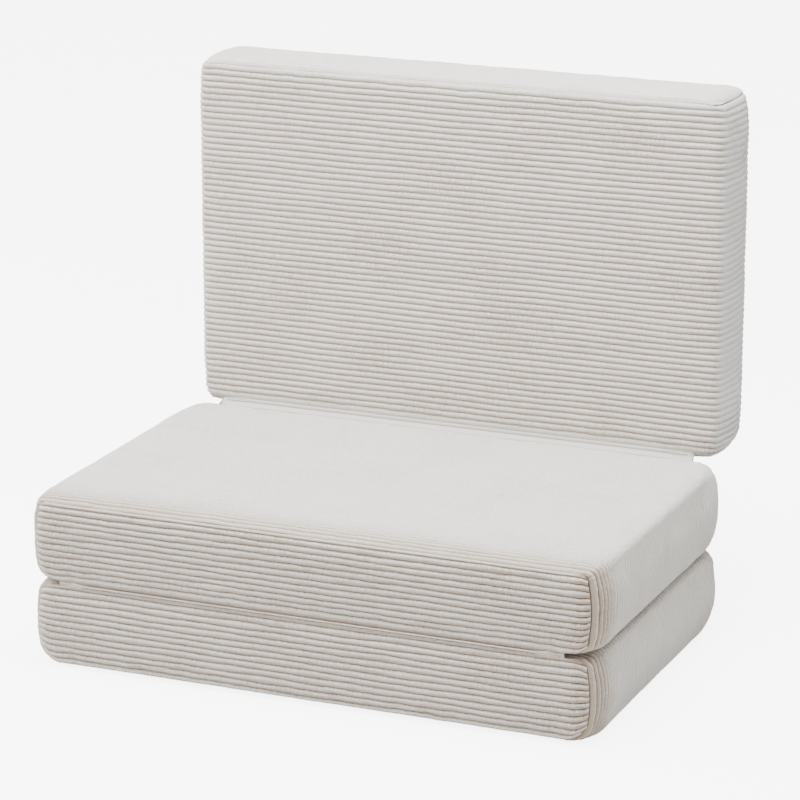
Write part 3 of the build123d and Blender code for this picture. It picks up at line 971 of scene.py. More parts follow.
@dataclass(frozen=True)
class MoveField:
    """Moves of a section's cover on a lattice of cells, read by trilinear interpolation."""

    corner: Array
    cell: float
    values: Array

    def at(self, points: Array) -> Array:
        """The moves at points.

        Args:
            points: any number of points, the last axis of 3.

        Returns:
            The moves, of the same shape.
        """
        shape = np.array(self.values.shape[:3])
        place = np.clip((points - self.corner) / self.cell, 0.0, shape - 1.001)
        whole = place.astype(int)
        part = place - whole
        total = np.zeros(points.shape)
        for dx in (0, 1):
            for dy in (0, 1):
                for dz in (0, 1):
                    weight = (np.abs(1 - dx - part[..., 0]) * np.abs(1 - dy - part[..., 1])
                              * np.abs(1 - dz - part[..., 2]))
                    total += weight[..., None] * self.values[
                        whole[..., 0] + dx, whole[..., 1] + dy, whole[..., 2] + dz]
        return total


def pushed(points: Array, moves: MoveField | None) -> Array:
    """Adds the stuffing's moves to points, or nothing where there are none."""
    return points if moves is None else points + moves.at(points)


@dataclass(frozen=True)
class Stuffing:
    """The foam's push on a section's cover, by a cloth simulation of the cover."""

    form: CushionForm
    inset: float = 0.003
    voxel: float = 0.007
    pressure: float = 4.0
    slack: float = 0.02
    frames: int = 20
    cap: float = PUSH
    cell: float = 0.010
    columns: tuple[int, ...] = (60, 6, 10, 6, 60, 6, 10, 6)
    end_rings: tuple[float, ...] = (0.002, 0.005, 0.009, 0.014)

    def moves(self) -> MoveField:
        """Simulates the cover and returns how far each place of it moves.

        A closed skin of the form, slightly smaller, is remeshed in voxels and blown up from
        inside as cloth, without gravity, a little slacker than the skin and held along its
        seams. Each move is cut at a cap, averaged over the cells that its point is in, and
        spread into the empty cells beside them.

        Returns:
            The moves of the section.
        """
        skin = self.skin()
        mesh = self.remeshed(skin)
        start = mesh_points(mesh)
        cloth = bpy.data.objects.new("cover_skin", mesh)
        bpy.context.scene.collection.objects.link(cloth)
        self.hold_seams(cloth, start)
        end = self.blown_up(cloth)
        bpy.data.objects.remove(cloth)
        bpy.data.meshes.remove(mesh)
        move = end - start
        size = np.linalg.norm(move, axis=1, keepdims=True)
        move = move * np.minimum(1.0, self.cap / np.maximum(size, 1e-9))
        LOG.info("%s cover: %d points, moved %.1f mm at most", self.form.name, len(start),
                 1000 * float(size.max()))
        return self.spread(start, move)

    def skin(self) -> bpy.types.Object:
        """The closed skin: rings along the section, and shrinking rings over its two ends."""
        form = self.form
        run = np.repeat(np.arange(len(Run)), self.columns)
        share = np.concatenate([np.arange(n) / n for n in self.columns])
        seam = np.linspace(END_DEPTH, LENGTH - END_DEPTH, 60)
        middle = form.ring(seam[:, None], run[None, :], share[None, :], self.inset)
        ends = []
        for row, outwards in ((middle[0], -1.0), (middle[-1], 1.0)):
            lengthwise = outwards * form.lengthwise
            centre = row.mean(axis=0)
            inside = np.array(self.end_rings)[:, None, None]
            out = (END_DEPTH - self.inset) * np.sqrt(
                1.0 - (1.0 - inside / self.end_rings[-1]) ** 2)
            reach = np.maximum(np.ptp(row, axis=0) / 2, 1e-6)
            rows = centre + (row - centre) * (1.0 - inside / reach) * (np.abs(
                lengthwise) < 0.5) + out * lengthwise
            ends.append(rows)
        rows = np.concatenate([ends[0][::-1], middle, ends[1]])
        cloth = Cloth()
        cloth.add_tube(rows, form.turned)
        return cloth.build("cover_skin", bpy.data.materials.new("cover_skin"))

    def remeshed(self, skin: bpy.types.Object) -> bpy.types.Mesh:
        """The skin remeshed in voxels, as a new mesh; the skin is removed."""
        remesh = skin.modifiers.new("voxels", "REMESH")
        remesh.mode = "VOXEL"
        remesh.voxel_size = self.voxel
        mesh = evaluated_mesh(skin)
        old = skin.data
        bpy.data.objects.remove(skin)
        bpy.data.meshes.remove(old)
        return mesh

    def hold_seams(self, cloth: bpy.types.Object, points: Array) -> None:
        """Pins the points beside the end seams."""
        axis = 1 if self.form.lie is Lie.FLAT else 2
        along = points[:, axis] - self.form.start
        away = np.minimum(np.abs(along - END_DEPTH), np.abs(LENGTH - END_DEPTH - along))
        group = cloth.vertex_groups.new(name="seams")
        held = np.nonzero(away < 0.6 * self.voxel)[0]
        group.add(held.tolist(), 1.0, "REPLACE")

    def blown_up(self, cloth: bpy.types.Object) -> Array:
        """Steps the simulation and returns the points at its last frame."""
        modifier = cloth.modifiers.new("cloth", "CLOTH")
        settings = modifier.settings
        settings.quality = 5
        settings.mass = 0.3
        settings.tension_stiffness = 12.0
        settings.compression_stiffness = 12.0
        settings.shear_stiffness = 4.0
        settings.bending_stiffness = 0.6
        settings.use_pressure = True
        settings.uniform_pressure_force = self.pressure
        settings.shrink_min = -self.slack
        settings.vertex_group_mass = "seams"
        settings.effector_weights.gravity = 0.0
        modifier.collision_settings.use_collision = False
        modifier.point_cache.frame_start = 1
        modifier.point_cache.frame_end = self.frames
        scene = bpy.context.scene
        for frame in range(1, self.frames + 1):
            scene.frame_set(frame)
        result = evaluated_mesh(cloth)
        points = mesh_points(result)
        bpy.data.meshes.remove(result)
        scene.frame_set(1)
        return points

    def spread(self, start: Array, move: Array) -> MoveField:
        """Averages the moves over cells and fills the empty cells from their neighbours."""
        corner = start.min(axis=0) - 3 * self.cell
        shape = np.ceil((start.max(axis=0) + 3 * self.cell - corner) / self.cell).astype(int)
        cells = tuple(np.round((start - corner) / self.cell).astype(int).T)
        values = np.zeros((*shape, 3))
        weight = np.zeros(shape)
        np.add.at(values, cells, move)
        np.add.at(weight, cells, 1.0)
        for _ in range(4):
            wide, wide_weight = values.copy(), weight.copy()
            for axis in range(3):
                for step in (-1, 1):
                    wide += 0.5 * np.roll(values, step, axis=axis)
                    wide_weight += 0.5 * np.roll(weight, step, axis=axis)
            known = weight > 1e-6
            mean = wide / np.maximum(wide_weight, 1e-6)[..., None]
            own = values / np.maximum(weight, 1e-6)[..., None]
            values = np.where(known[..., None], 0.7 * own + 0.3 * mean, mean)
            weight = np.where(known | (wide_weight > 1e-6), 1.0, 0.0)
            values = values * weight[..., None]
        return MoveField(corner, self.cell, values)


def mesh_points(mesh: bpy.types.Mesh) -> Array:
    """The mesh's vertices as an array."""
    points = np.zeros(len(mesh.vertices) * 3, np.float32)
    mesh.vertices.foreach_get("co", points)
    return points.reshape(-1, 3).astype(float)


def evaluated_mesh(piece: bpy.types.Object) -> bpy.types.Mesh:
    """A new mesh of a piece with its modifiers applied."""
    graph = bpy.context.evaluated_depsgraph_get()
    graph.update()
    return bpy.data.meshes.new_from_object(piece.evaluated_get(graph))


@dataclass(frozen=True)
class CorduroyWrap:
    """The tube of corduroy round a section, its wales running round it."""

    form: CushionForm
    wales: int = 55
    face_columns: int = 92
    corner_columns: int = 10
    right_columns: int = 16
    left_columns: int = 18
    wander: float = 0.0012

    def columns(self) -> tuple[Array, Array]:
        """The columns round the wrap: the run each is on and its share of that run.

        The left side has more of them by the rims of the zipper's slot.
        """
        counts = [self.face_columns, self.corner_columns, self.right_columns,
                  self.corner_columns, self.face_columns, self.corner_columns, 0,
                  self.corner_columns]
        runs, shares = [], []
        for number, count in zip(Run, counts):
            if number is Run.LEFT:
                edges = np.linspace(0.0, 1.0, self.left_columns + 1)[:-1]
                edges = edges[np.abs(edges - 0.5) > SLOT_CLEAR]
                share = np.sort(np.concatenate([edges, 0.5 - SLOT_COLUMNS, [0.5],
                                                0.5 + SLOT_COLUMNS]))
            else:
                share = np.arange(count) / count
            runs.append(np.full(len(share), number))
            shares.append(share)
        return np.concatenate(runs), np.concatenate(shares)

    def build(self, finishes: Finishes, moves: MoveField | None) -> bpy.types.Object:
        """Builds the wrap.

        The base surface is the cushion form, started a little smaller and pushed out by its
        stuffing. A wale's profile stands on it, so that the crests lie on the form and the
        grooves a wale's depth inside. The wales wander a little along the section, and the
        ends curl in to their seams.

        Args:
            finishes: the materials.
            moves: the stuffing's moves, or None for the plain form.

        Returns:
            The wrap.
        """
        form = self.form
        run, share = self.columns()
        wale = wale_rows(self.wales)
        seam = END_DEPTH + SEAM_GAP
        end = seam + SEAM_RADIUS
        along = end + wale[:, None] / self.wales * (LENGTH - 2 * end) * np.ones(len(run))
        ring = form.ring(along, run[None, :], share[None, :])
        step = np.linalg.norm(np.roll(ring[len(wale) // 2], -1, axis=0)
                              - ring[len(wale) // 2], axis=1)
        around = np.concatenate([[0.0], np.cumsum(step)])
        u = np.broadcast_to(around[None, :-1], along.shape)
        near = np.minimum(along, LENGTH - along) - seam
        drift = self.wander * (soft_noise(u, along, 0.35, 0.16, form.seed)
                               + 0.3 * soft_noise(u, along, 0.05, 0.02, form.seed + 1))
        drift = drift * smooth_step(near, 0.0, 0.02) + 0.0010 * soft_noise(
            u, along, 0.045, 0.2, form.seed + 2) * smooth_step(near, 0.002, 0.012) * np.exp(
                -near / 0.016)
        inset = 0.0 if moves is None else PUSH
        ring = pushed(form.ring(along + drift, run[None, :], share[None, :], inset), moves)
        normal = grid_normals(ring, True, form.turned)
        height = wale_profile(wale)[:, None] * (
            1.0 + 0.10 * soft_noise(u, along, 0.03, 0.012, form.seed + 3))
        seamed = 1.0 - SEAM_SHARE * np.exp(-(np.clip(near, 0.0, None) / 0.003) ** 2)
        sunk = WALE_DEPTH * seamed * self.side_depth(along, run, share) * (
            1.0 - np.clip(height, 0.0, 1.05))
        sunk = sunk + self.slot_depth(ring, along, run)
        sunk = sunk + 0.0006 * soft_noise(u, along, 0.16, 0.12, form.seed + 4)
        sunk = sunk + seam_pucker(u, near, run, share, form.seed + 5)
        ring = ring - normal * np.clip(sunk, 0.0, None)[:, :, None]
        rows = np.concatenate([self.curl(ring, normal, 0)[::-1], ring,
                               self.curl(ring, normal, -1)])
        # By the seams the wale phase is shifted, so the painted shade thins over the half wale
        # beside each seam and deepens over the curl into it.
        pale = SEAM_SHADE_SHIFT * np.clip(1.0 - 2.0 * wale, 0.0, None)
        v = wale + pale - pale[::-1]
        bend = SEAM_SHADE_SHIFT * (1.0 - 0.6 * np.arange(1, len(SEAM_CURL) + 1) / len(SEAM_CURL))
        v = np.concatenate([bend[::-1], v, self.wales - bend])
        uv = np.stack(np.broadcast_arrays(around[None, :], v[:, None]), axis=-1)
        cloth = Cloth()
        rows = form_limits(form, rows)
        shade_strength = self.shade_strength(along, run, share)
        # The curls into the seams take the painted groove shade at half strength.
        shade_strength = np.concatenate([np.repeat(0.5 * shade_strength[:1], len(SEAM_CURL), axis=0), shade_strength,
                               np.repeat(0.5 * shade_strength[-1:], len(SEAM_CURL), axis=0)])
        middle = rows.mean(axis=1)
        inwards = 0.006 * form.lengthwise
        cloth.add_tube(rows, form.turned, uv, (middle[0] + inwards, middle[-1] - inwards),
                       shade_strength)
        piece = cloth.build(form.name + "_corduroy_wrap", finishes.corduroy)
        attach(piece, form.name)
        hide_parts(form.name + "_cover_wrap")
        return piece

    def side_depth(self, along: Array, run: Array, share: Array) -> Array:
        """The wales' share of their depth: 1 on faces, 0.6 on sides, 1.3 by the first seam.

        Args:
            along: positions along the section.
            run: the run of the outline that each column is on.
            share: the share of that run.

        Returns:
            The shares of the depth.
        """
        return 1.0 + side_share(run, share) * (0.3 - 0.7 * smooth_step(along, 0.03, 0.10))

    def shade_strength(self, along: Array, run: Array, share: Array) -> Array:
        """How strongly painted shade darkens the grooves and wale sides: set face by face for how
        light falls on it, and by seam close to the end seams.

        Args:
            along: positions along the section.
            run: the run of the outline that each column is on.
            share: the share of that run.

        Returns:
            The strengths: 1 is full, and more also deepens the painted shade on the wales' lower
                sides.
        """
        look = self.form.look
        ease = smooth_step(share, 0.0, 1.0)
        low, high, side = look.low, look.high, look.side
        face = np.select(
            [run == number for number in Run],
            [low, low + (side - low) * ease, side, side + (high - side) * ease, high,
             high + (side - high) * ease, side, side + (low - side) * ease])[None, :]
        # Painted shade is half as strong again on the right side and its corners by the first
        # seam.
        first = look.first * (1.0 + 0.5 * side_share(run, share) * (run < Run.HIGH_FACE))
        for seam, away in ((first, along), (look.last, LENGTH - along)):
            away = np.clip(away - END_DEPTH, 0.0, None)
            face = face + (seam - face) * np.exp(-(away / look.reach) ** 2)
        return face

    def curl(self, ring: Array, normal: Array, row: int) -> Array:
        """Rows that turn from the wrap's end in to its seam, along an arc.

        Args:
            ring: the wrap's points.
            normal: its outward normals.
            row: the end row, 0 or -1.

        Returns:
            Rows of points, from the one beside the wrap's end to the innermost.
        """
        lengthwise = self.form.lengthwise * (1.0 if row == -1 else -1.0)
        turn = SEAM_CURL[:, None, None]
        return (ring[row] + SEAM_RADIUS * np.sin(turn) * lengthwise
                - SEAM_RADIUS * (1 - np.cos(turn)) * normal[row])

    def slot_depth(self, ring: Array, along: Array, run: Array) -> Array:
        """How far the zipper's slot sinks in: its depth inside its outline, with steep edges."""
        middle = self.form.low_face + THICKNESS / 2
        level = ring[:, :, 2 if self.form.lie is Lie.FLAT else 1] - middle
        inside = smooth_step(-np.abs(level), -SLOT_RIM[1], -SLOT_RIM[0])
        inside = inside * smooth_step(-np.abs(along - LENGTH / 2),
                                      -ZIP_LENGTH / 2 - SLOT_END_RIM[1],
                                      -ZIP_LENGTH / 2 - SLOT_END_RIM[0])
        return SLOT_DEPTH * inside * (run == Run.LEFT)[None, :]


def side_share(run: Array, share: Array) -> Array:
    """How far each column is on a side: 1 on the sides, 0 on the faces, eased round corners."""
    ease = smooth_step(share, 0.0, 1.0)
    rising, falling = np.isin(run, (Run.LOW_RIGHT, Run.HIGH_LEFT)), np.isin(
        run, (Run.HIGH_RIGHT, Run.LOW_LEFT))
    return np.select([np.isin(run, (Run.RIGHT, Run.LEFT)), rising, falling],
                     [1.0, ease, 1.0 - ease], 0.0)


def seam_pucker(u: Array, near: Array, run: Array, share: Array, seed: int) -> Array:
    """Depth of the small folds beside a seam, which are strongest in the corners.

    Args:
        u: place along the seam.
        near: distance from the seam.
        run: the run of the outline that each column is on.
        share: the share of that run.
        seed: picks the folds.

    Returns:
        The depths, in metres.
    """
    corners = (Run.LOW_RIGHT, Run.HIGH_RIGHT, Run.HIGH_LEFT, Run.LOW_LEFT)
    corner = np.isin(run, corners) * np.sin(math.pi * share) + np.where(
        np.isin(run, (Run.RIGHT, Run.LEFT)), 0.35, 0.15)
    wave = 2.0 * soft_noise(u, near, 0.03, 0.2, seed)
    fold = 0.5 + 0.5 * np.sin(2 * math.pi * u / FOLD_WAVE + wave)
    return CORNER_FOLD * corner[None, :] * fold * np.exp(-np.clip(near, 0.0, None) / 0.011)


def form_limits(form: CushionForm, points: Array) -> Array:
    """Keeps points out of the floor and on their own side of the plane between sections.

    Args:
        form: the section.
        points: its points.

    Returns:
        The points, pressed flat where they would cross.
    """
    level = 2 if form.lie is Lie.FLAT else 1
    floor = form.low_face + (0.0 if form.name == "base" else HALF_GAP)
    points[..., level] = np.clip(points[..., level], floor,
                                 form.low_face + THICKNESS - HALF_GAP)
    return points


@dataclass(frozen=True)
class EndPanel:
    """A corduroy panel sewn into one end of a section, its wales running across."""

    form: CushionForm
    at_last: bool
    node: str
    low_rounding: float
    high_rounding: float
    side_rounding: float = 0.016
    # The strength of the painted groove and wale shade on the panel.
    shade_strength: float = 1.0
    wales: float = 12.5
    columns: int = 110
    wander: float = 0.0009

    def outline_level(self, o: Outline, across: Array, high: bool) -> Array:
        """Level of the outline's top or bottom over the width, with its rounded corners."""
        centre, radius = (o.high_centre, o.high_radius) if high else (o.low_centre,
                                                                      o.low_radius)
        past = np.clip(np.abs(across) - centre, 0.0, radius)
        drop = radius - np.sqrt(radius ** 2 - past ** 2)
        inside = np.clip(across, -centre, centre)
        return o.high_at(inside) - drop if high else o.low_at(inside) + drop

    def outline_reach(self, o: Outline, level: Array) -> Array:
        """How far out the outline is at a level, with its rounded corners."""
        bottom, top = o.low_corner + o.low_radius, o.high_corner - o.high_radius
        under = np.clip(bottom - level, 0.0, o.low_radius)
        over = np.clip(level - top, 0.0, o.high_radius)
        drop = (o.low_radius - np.sqrt(o.low_radius ** 2 - under ** 2)
                + o.high_radius - np.sqrt(o.high_radius ** 2 - over ** 2))
        return o.side_at(np.clip(level, bottom, top)) - drop

    def inside_distance(self, o: Outline, across: Array, level: Array) -> Array:
        """Distance in from the outline: that of a box with rounded corners, cut at zero."""
        side = o.side_at(level) - np.abs(across)
        reaches = []
        for face, radius in ((level - o.low_at(across), o.low_radius),
                             (o.high_at(across) - level, o.high_radius)):
            x, y = radius - side, radius - face
            corner = np.hypot(np.clip(x, 0.0, None), np.clip(y, 0.0, None))
            reaches.append(radius - corner - np.minimum(np.maximum(x, y), 0.0))
        return np.clip(np.minimum(*reaches), 0.0, None)

    def build(self, finishes: Finishes, moves: MoveField | None) -> bpy.types.Object:
        """Builds the panel.

        The panel is a rectangle of cloth whose corners lie in the middle of the outline's
        corners, so its wales bend towards them at their ends. It stands out from its seam by
        a quarter-circle profile over the distance from the outline, and its rim runs back
        to the seam and curls in.

        Args:
            finishes: the materials.
            moves: the stuffing's moves, or None for the plain form.

        Returns:
            The panel.
        """
        form = self.form
        inset = 0.0 if moves is None else PUSH
        seam = np.array(LENGTH - END_DEPTH if self.at_last else END_DEPTH)
        o = form.outline(seam, inset)
        cut_off = 1.0 - math.sqrt(0.5)
        low_half = o.low_centre + o.low_radius * (1.0 - cut_off)
        high_half = o.high_centre + o.high_radius * (1.0 - cut_off)
        half = float(low_half + high_half) / 2
        rim = 1.0 - np.cos(np.linspace(0.0, math.pi / 2, 7))
        wale = wale_rows(self.wales)
        height = float(o.high - o.low)
        t = thinned(np.concatenate([wale / self.wales, self.low_rounding * rim / height,
                                    1.0 - self.high_rounding * rim / height]), 0.0003 / height)
        end = self.side_rounding * rim / half
        turn = np.linspace(-math.pi / 2, math.pi / 2, self.columns)
        s = thinned(np.concatenate([-1.0 + end, 1.0 - end, 0.35 * np.sin(turn)
                                    + 0.65 * turn / (math.pi / 2)]), 0.0007 / half)
        t, s = t[:, None], s[None, :]
        bottom = self.outline_level(o, s * low_half, False)
        top = self.outline_level(o, s * high_half, True)
        level = bottom + t * (top - bottom)
        first = o.low_corner + cut_off * o.low_radius
        final = o.high_corner - cut_off * o.high_radius
        across = s * self.outline_reach(o, first + t * (final - first))
        inside = self.inside_distance(o, across, level)
        inside = inside * smooth_step(np.minimum(np.minimum(t, 1 - t) * height,
                                                 (1 - np.abs(s)) * half), 0.0, 0.0015)
        rounding = self.low_rounding + t * (self.high_rounding - self.low_rounding)
        at_side = smooth_step(np.abs(across), half - 0.045, half)
        drop = rounding + (END_DEPTH - 0.001 - rounding) * at_side - inset
        rounding = rounding + (self.side_rounding - rounding) * at_side
        left = 1.0 - np.clip(inside / rounding, 0.0, 1.0)
        depth = inset + drop * (1.0 - np.sqrt(1.0 - left ** 2))
        v = np.broadcast_to(t * self.wales, across.shape)
        drift = self.wander * (soft_noise(across, level, 0.30, 0.05, form.seed + 6)
                               + 0.4 * soft_noise(across, level, 0.05, 0.02, form.seed + 7))
        calm = smooth_step(inside, 0.0, 0.012)
        points = pushed(form.place(across, LENGTH - depth if self.at_last else depth,
                                   level + drift * calm), moves)
        turned = form.turned != self.at_last
        normal = grid_normals(points, False, not turned)
        tall = wale_profile(v) * (1.0 + 0.08 * soft_noise(across, level, 0.03, 0.012,
                                                          form.seed + 8))
        fade = smooth_step(inside, 0.0, 0.0025)
        sunk = WALE_DEPTH * (fade * (1.0 - np.clip(tall, 0.0, 1.05))
                             + (1.0 - fade) * (1.0 - SEAM_SHARE) * (1.0 - 0.5 * at_side))
        near_corner = np.exp(-np.hypot(half - np.abs(across), np.minimum(
            level - o.low, o.high - level)) / 0.022)
        sunk = sunk + CORNER_FOLD * near_corner * (0.5 + 0.5 * np.sin(
            2 * math.pi * (across - level) / FOLD_WAVE))
        points = points - normal * np.clip(sunk, 0.0, None)[:, :, None]
        uv = np.stack([across, v], axis=-1)
        cloth = Cloth()
        points = form_limits(form, points)
        # Painted shade: half as strong again towards the panel's right end, where it turns away
        # into shade.
        shade_strength = self.shade_strength * (1.0 + 0.5 * np.exp(-((half - across) / 0.014) ** 2))
        index = cloth.add_grid(points, uv, flipped=not turned, groove=shade_strength)
        self.add_rim(cloth, points, uv, index, turned)
        piece = cloth.build(form.name + "_corduroy_" + self.node, finishes.corduroy)
        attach(piece, form.name)
        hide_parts(form.name + "_" + self.node)
        return piece

    def add_rim(self, cloth: Cloth, points: Array, uv: Array, index: Array,
                turned: bool) -> None:
        """Adds the rim that runs back to the seam and curls in, and closes it behind.

        Args:
            cloth: collects the faces.
            points: the panel's grid.
            uv: its weave map.
            index: its vertices.
            turned: whether the grid's faces are turned over.
        """
        rows, cols = index.shape
        i = np.concatenate([np.zeros(cols - 1, int), np.arange(rows - 1),
                            np.full(cols - 1, rows - 1), np.arange(rows - 1, 0, -1)])
        j = np.concatenate([np.arange(cols - 1), np.full(rows - 1, cols - 1),
                            np.arange(cols - 1, 0, -1), np.zeros(rows - 1, int)])
        loop = points[i, j]
        lengthwise = self.form.lengthwise * (-1.0 if self.at_last else 1.0)
        axis = int(np.argmax(np.abs(lengthwise)))
        seam = self.form.start + (LENGTH - END_DEPTH if self.at_last else END_DEPTH)
        steps = np.linalg.norm(np.roll(loop, -1, axis=0) - np.roll(loop, 1, axis=0), axis=1)
        along = (np.roll(loop, -1, axis=0) - np.roll(loop, 1, axis=0)) / steps[:, None]
        outward = np.cross(along, lengthwise)
        outward /= np.maximum(np.linalg.norm(outward, axis=1, keepdims=True), 1e-9)
        middle = loop.mean(axis=0)
        if np.sum(outward * (loop - middle)) < 0:
            outward = -outward
        back = np.abs(seam - loop[:, axis])[:, None] - SEAM_GAP - SEAM_RADIUS
        straight = loop + back * lengthwise
        rings = [loop, 0.5 * (loop + straight), straight]
        rings += [straight + SEAM_RADIUS * np.sin(a) * lengthwise
                  - SEAM_RADIUS * (1 - np.cos(a)) * outward for a in SEAM_CURL]
        ring_uv = np.broadcast_to(uv[i, j][None], (len(rings), len(loop), 2))
        ring_uv = np.concatenate([ring_uv, ring_uv[:, :1]], axis=1)
        strip = form_limits(self.form, np.stack(rings))
        band = cloth.add_grid(strip, ring_uv, closed=True, flipped=turned,
                              groove=self.shade_strength)
        centre = middle + lengthwise * (END_DEPTH - 0.005)
        cloth.add_cap(band[-1], centre, flipped=not turned)


@dataclass(frozen=True)
class FoamBlock:
    """A block of foam inside a section's cover."""

    form: CushionForm
    comfort: bool
    layer: float = 0.038
    clearance: float = 0.0056
    squareness: float = 0.12
    side_inset: float = 0.024
    end_inset: float = 0.018

    def build(self, finishes: Finishes) -> bpy.types.Object:
        """Builds the block: a superellipsoid, whose cosines are taken to a small power.

        Args:
            finishes: the materials.

        Returns:
            The block.
        """
        form = self.form
        glue = THICKNESS - HALF_GAP - self.layer if form.comfort_is_high \
            else HALF_GAP + self.layer
        on_top = self.comfort == form.comfort_is_high
        low = glue + 0.0002 if on_top else self.clearance + 0.009
        high = THICKNESS - self.clearance - 0.009 if on_top else glue - 0.0002
        turn = np.linspace(0.0, 2 * math.pi, 97)[:-1]
        tilt = np.linspace(-math.pi / 2, math.pi / 2, 33)[1:-1]
        square = self.squareness
        flat = signed_power(np.cos(tilt), square)[:, None]
        across = (HALF_WIDTH - self.side_inset) * flat * signed_power(
            np.cos(turn), square)[None, :]
        along = LENGTH / 2 + (LENGTH / 2 - self.end_inset) * flat * signed_power(
            np.sin(turn), square)[None, :]
        level = (low + high) / 2 + (high - low) / 2 * signed_power(
            np.sin(tilt), square)[:, None]
        points = form.place(across, along, level)
        cloth = Cloth()
        cloth.add_tube(points, not form.turned, ends=(form.place(0.0, LENGTH / 2, low),
                                                      form.place(0.0, LENGTH / 2, high)))
        kind = "comfort_foam" if self.comfort else "support_foam"
        piece = cloth.build(form.name + "_" + kind + "_block",
                            finishes.comfort_foam if self.comfort else finishes.support_foam)
        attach(piece, form.name)
        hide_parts(form.name + "_" + kind)
        return piece


@dataclass(frozen=True)
class Zipper:
    """The zipper in a section's left side: woven tapes, nylon coils, stops, slider and pull."""

    form: CushionForm
    tape_depth: float = 0.0014
    tape_thickness: float = 0.0008
    coil_gap: float = 0.0016
    coil_width: float = 0.0026
    coil_height: float = 0.0016
    coil_pitch: float = 0.0020
    stop_length: float = 0.003

    def build(self, finishes: Finishes) -> list[bpy.types.Object]:
        """Builds the tapes and coils and dresses the stops, the slider and the pull.

        Args:
            finishes: the materials.

        Returns:
            The new pieces.
        """
        name = self.form.name
        tapes = self.tapes().build(name + "_zip_tape_pair", finishes.zip_tape)
        coils = self.coils().build(name + "_zip_coil_pair", finishes.zip_coil)
        for piece, node, slot in ((tapes, "_zip_tapes", "zip_tape"),
                                  (coils, "_zip_coils", "zip_coil")):
            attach(piece, name)
            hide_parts(name + node)
        for node, material in (("_zip_stops", finishes.zip_coil),
                               ("_zip_slider", finishes.zip_metal),
                               ("_zip_pull", finishes.zip_metal)):
            dress_node(name + node, material)
        return [tapes, coils]

    def place(self, out: Array, along: Array, level: Array) -> Array:
        """Puts zipper coordinates in the frame: outwards from the side, along and across it."""
        side = WIDTH / 2 + self.form.spread
        return self.form.place(-side - out, along, THICKNESS / 2 + level)

    def tapes(self) -> Cloth:
        """The two tapes: flat ribbons with rounded edges, their section a squared ellipse."""
        cloth = Cloth()
        half_tape = (SLOT_WIDTH - self.coil_gap) / 4
        turn = np.linspace(0.0, 2 * math.pi, 25)[:-1]
        along = SLOT_MARGIN + np.linspace(0.0, ZIP_LENGTH, 91)[:, None]
        for side in (-1.0, 1.0):
            middle = side * (self.coil_gap / 2 + half_tape)
            edge, face = signed_power(np.cos(turn), 0.4), signed_power(np.sin(turn), 0.4)
            level = middle + 0.985 * half_tape * edge[None, :]
            out = -self.tape_depth - self.tape_thickness / 2 * (1.0 - face[None, :])
            cloth.add_tube(self.place(out, along, level), not self.form.turned)
        return cloth

    def coils(self) -> Cloth:
        """The two coils: a thin tube carried along a flattened helix.

        The helix turns once each pitch, as wide and high as the coil, and the tube is square
        to it: its section's axes are the helix's outward normal and their cross product with
        the tangent.
        """
        cloth = Cloth()
        wire = 0.00032
        length = ZIP_LENGTH - 2 * self.stop_length
        turns = int(length / self.coil_pitch)
        t = np.linspace(0.0, turns, turns * 8 + 1)
        along = SLOT_MARGIN + self.stop_length + t / turns * length
        ring = np.linspace(0.0, 2 * math.pi, 5)[:-1] + math.pi / 4
        for side in (-1.0, 1.0):
            angle = 2 * math.pi * t * side
            middle = side * (self.coil_gap + self.coil_width) / 2
            level = middle + (self.coil_width / 2 - wire) * np.cos(angle)
            out = -self.tape_depth + self.coil_height / 2 \
                + (self.coil_height / 2 - wire) * np.sin(angle)
            centre = self.place(out, along, level)
            tangent = np.gradient(centre, axis=0)
            tangent /= np.linalg.norm(tangent, axis=1, keepdims=True)
            axis = self.place(np.array(-self.tape_depth + self.coil_height / 2), along,
                              np.array(middle))
            normal = centre - axis
            normal -= tangent * np.sum(normal * tangent, axis=1, keepdims=True)
            normal /= np.linalg.norm(normal, axis=1, keepdims=True)
            binormal = np.cross(tangent, normal)
            points = centre[:, None, :] + wire * (
                normal[:, None, :] * np.cos(ring)[None, :, None]
                + binormal[:, None, :] * np.sin(ring)[None, :, None])
            cloth.add_tube(points, True, ends=(centre[0], centre[-1]))
        return cloth


def dress_node(node: str, material: bpy.types.Material) -> None:
    """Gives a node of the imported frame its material.

    Args:
        node: the node's name.
        material: its finish.
    """
    piece = bpy.data.objects[node]
    piece.data.materials.clear()
    piece.data.materials.append(material)


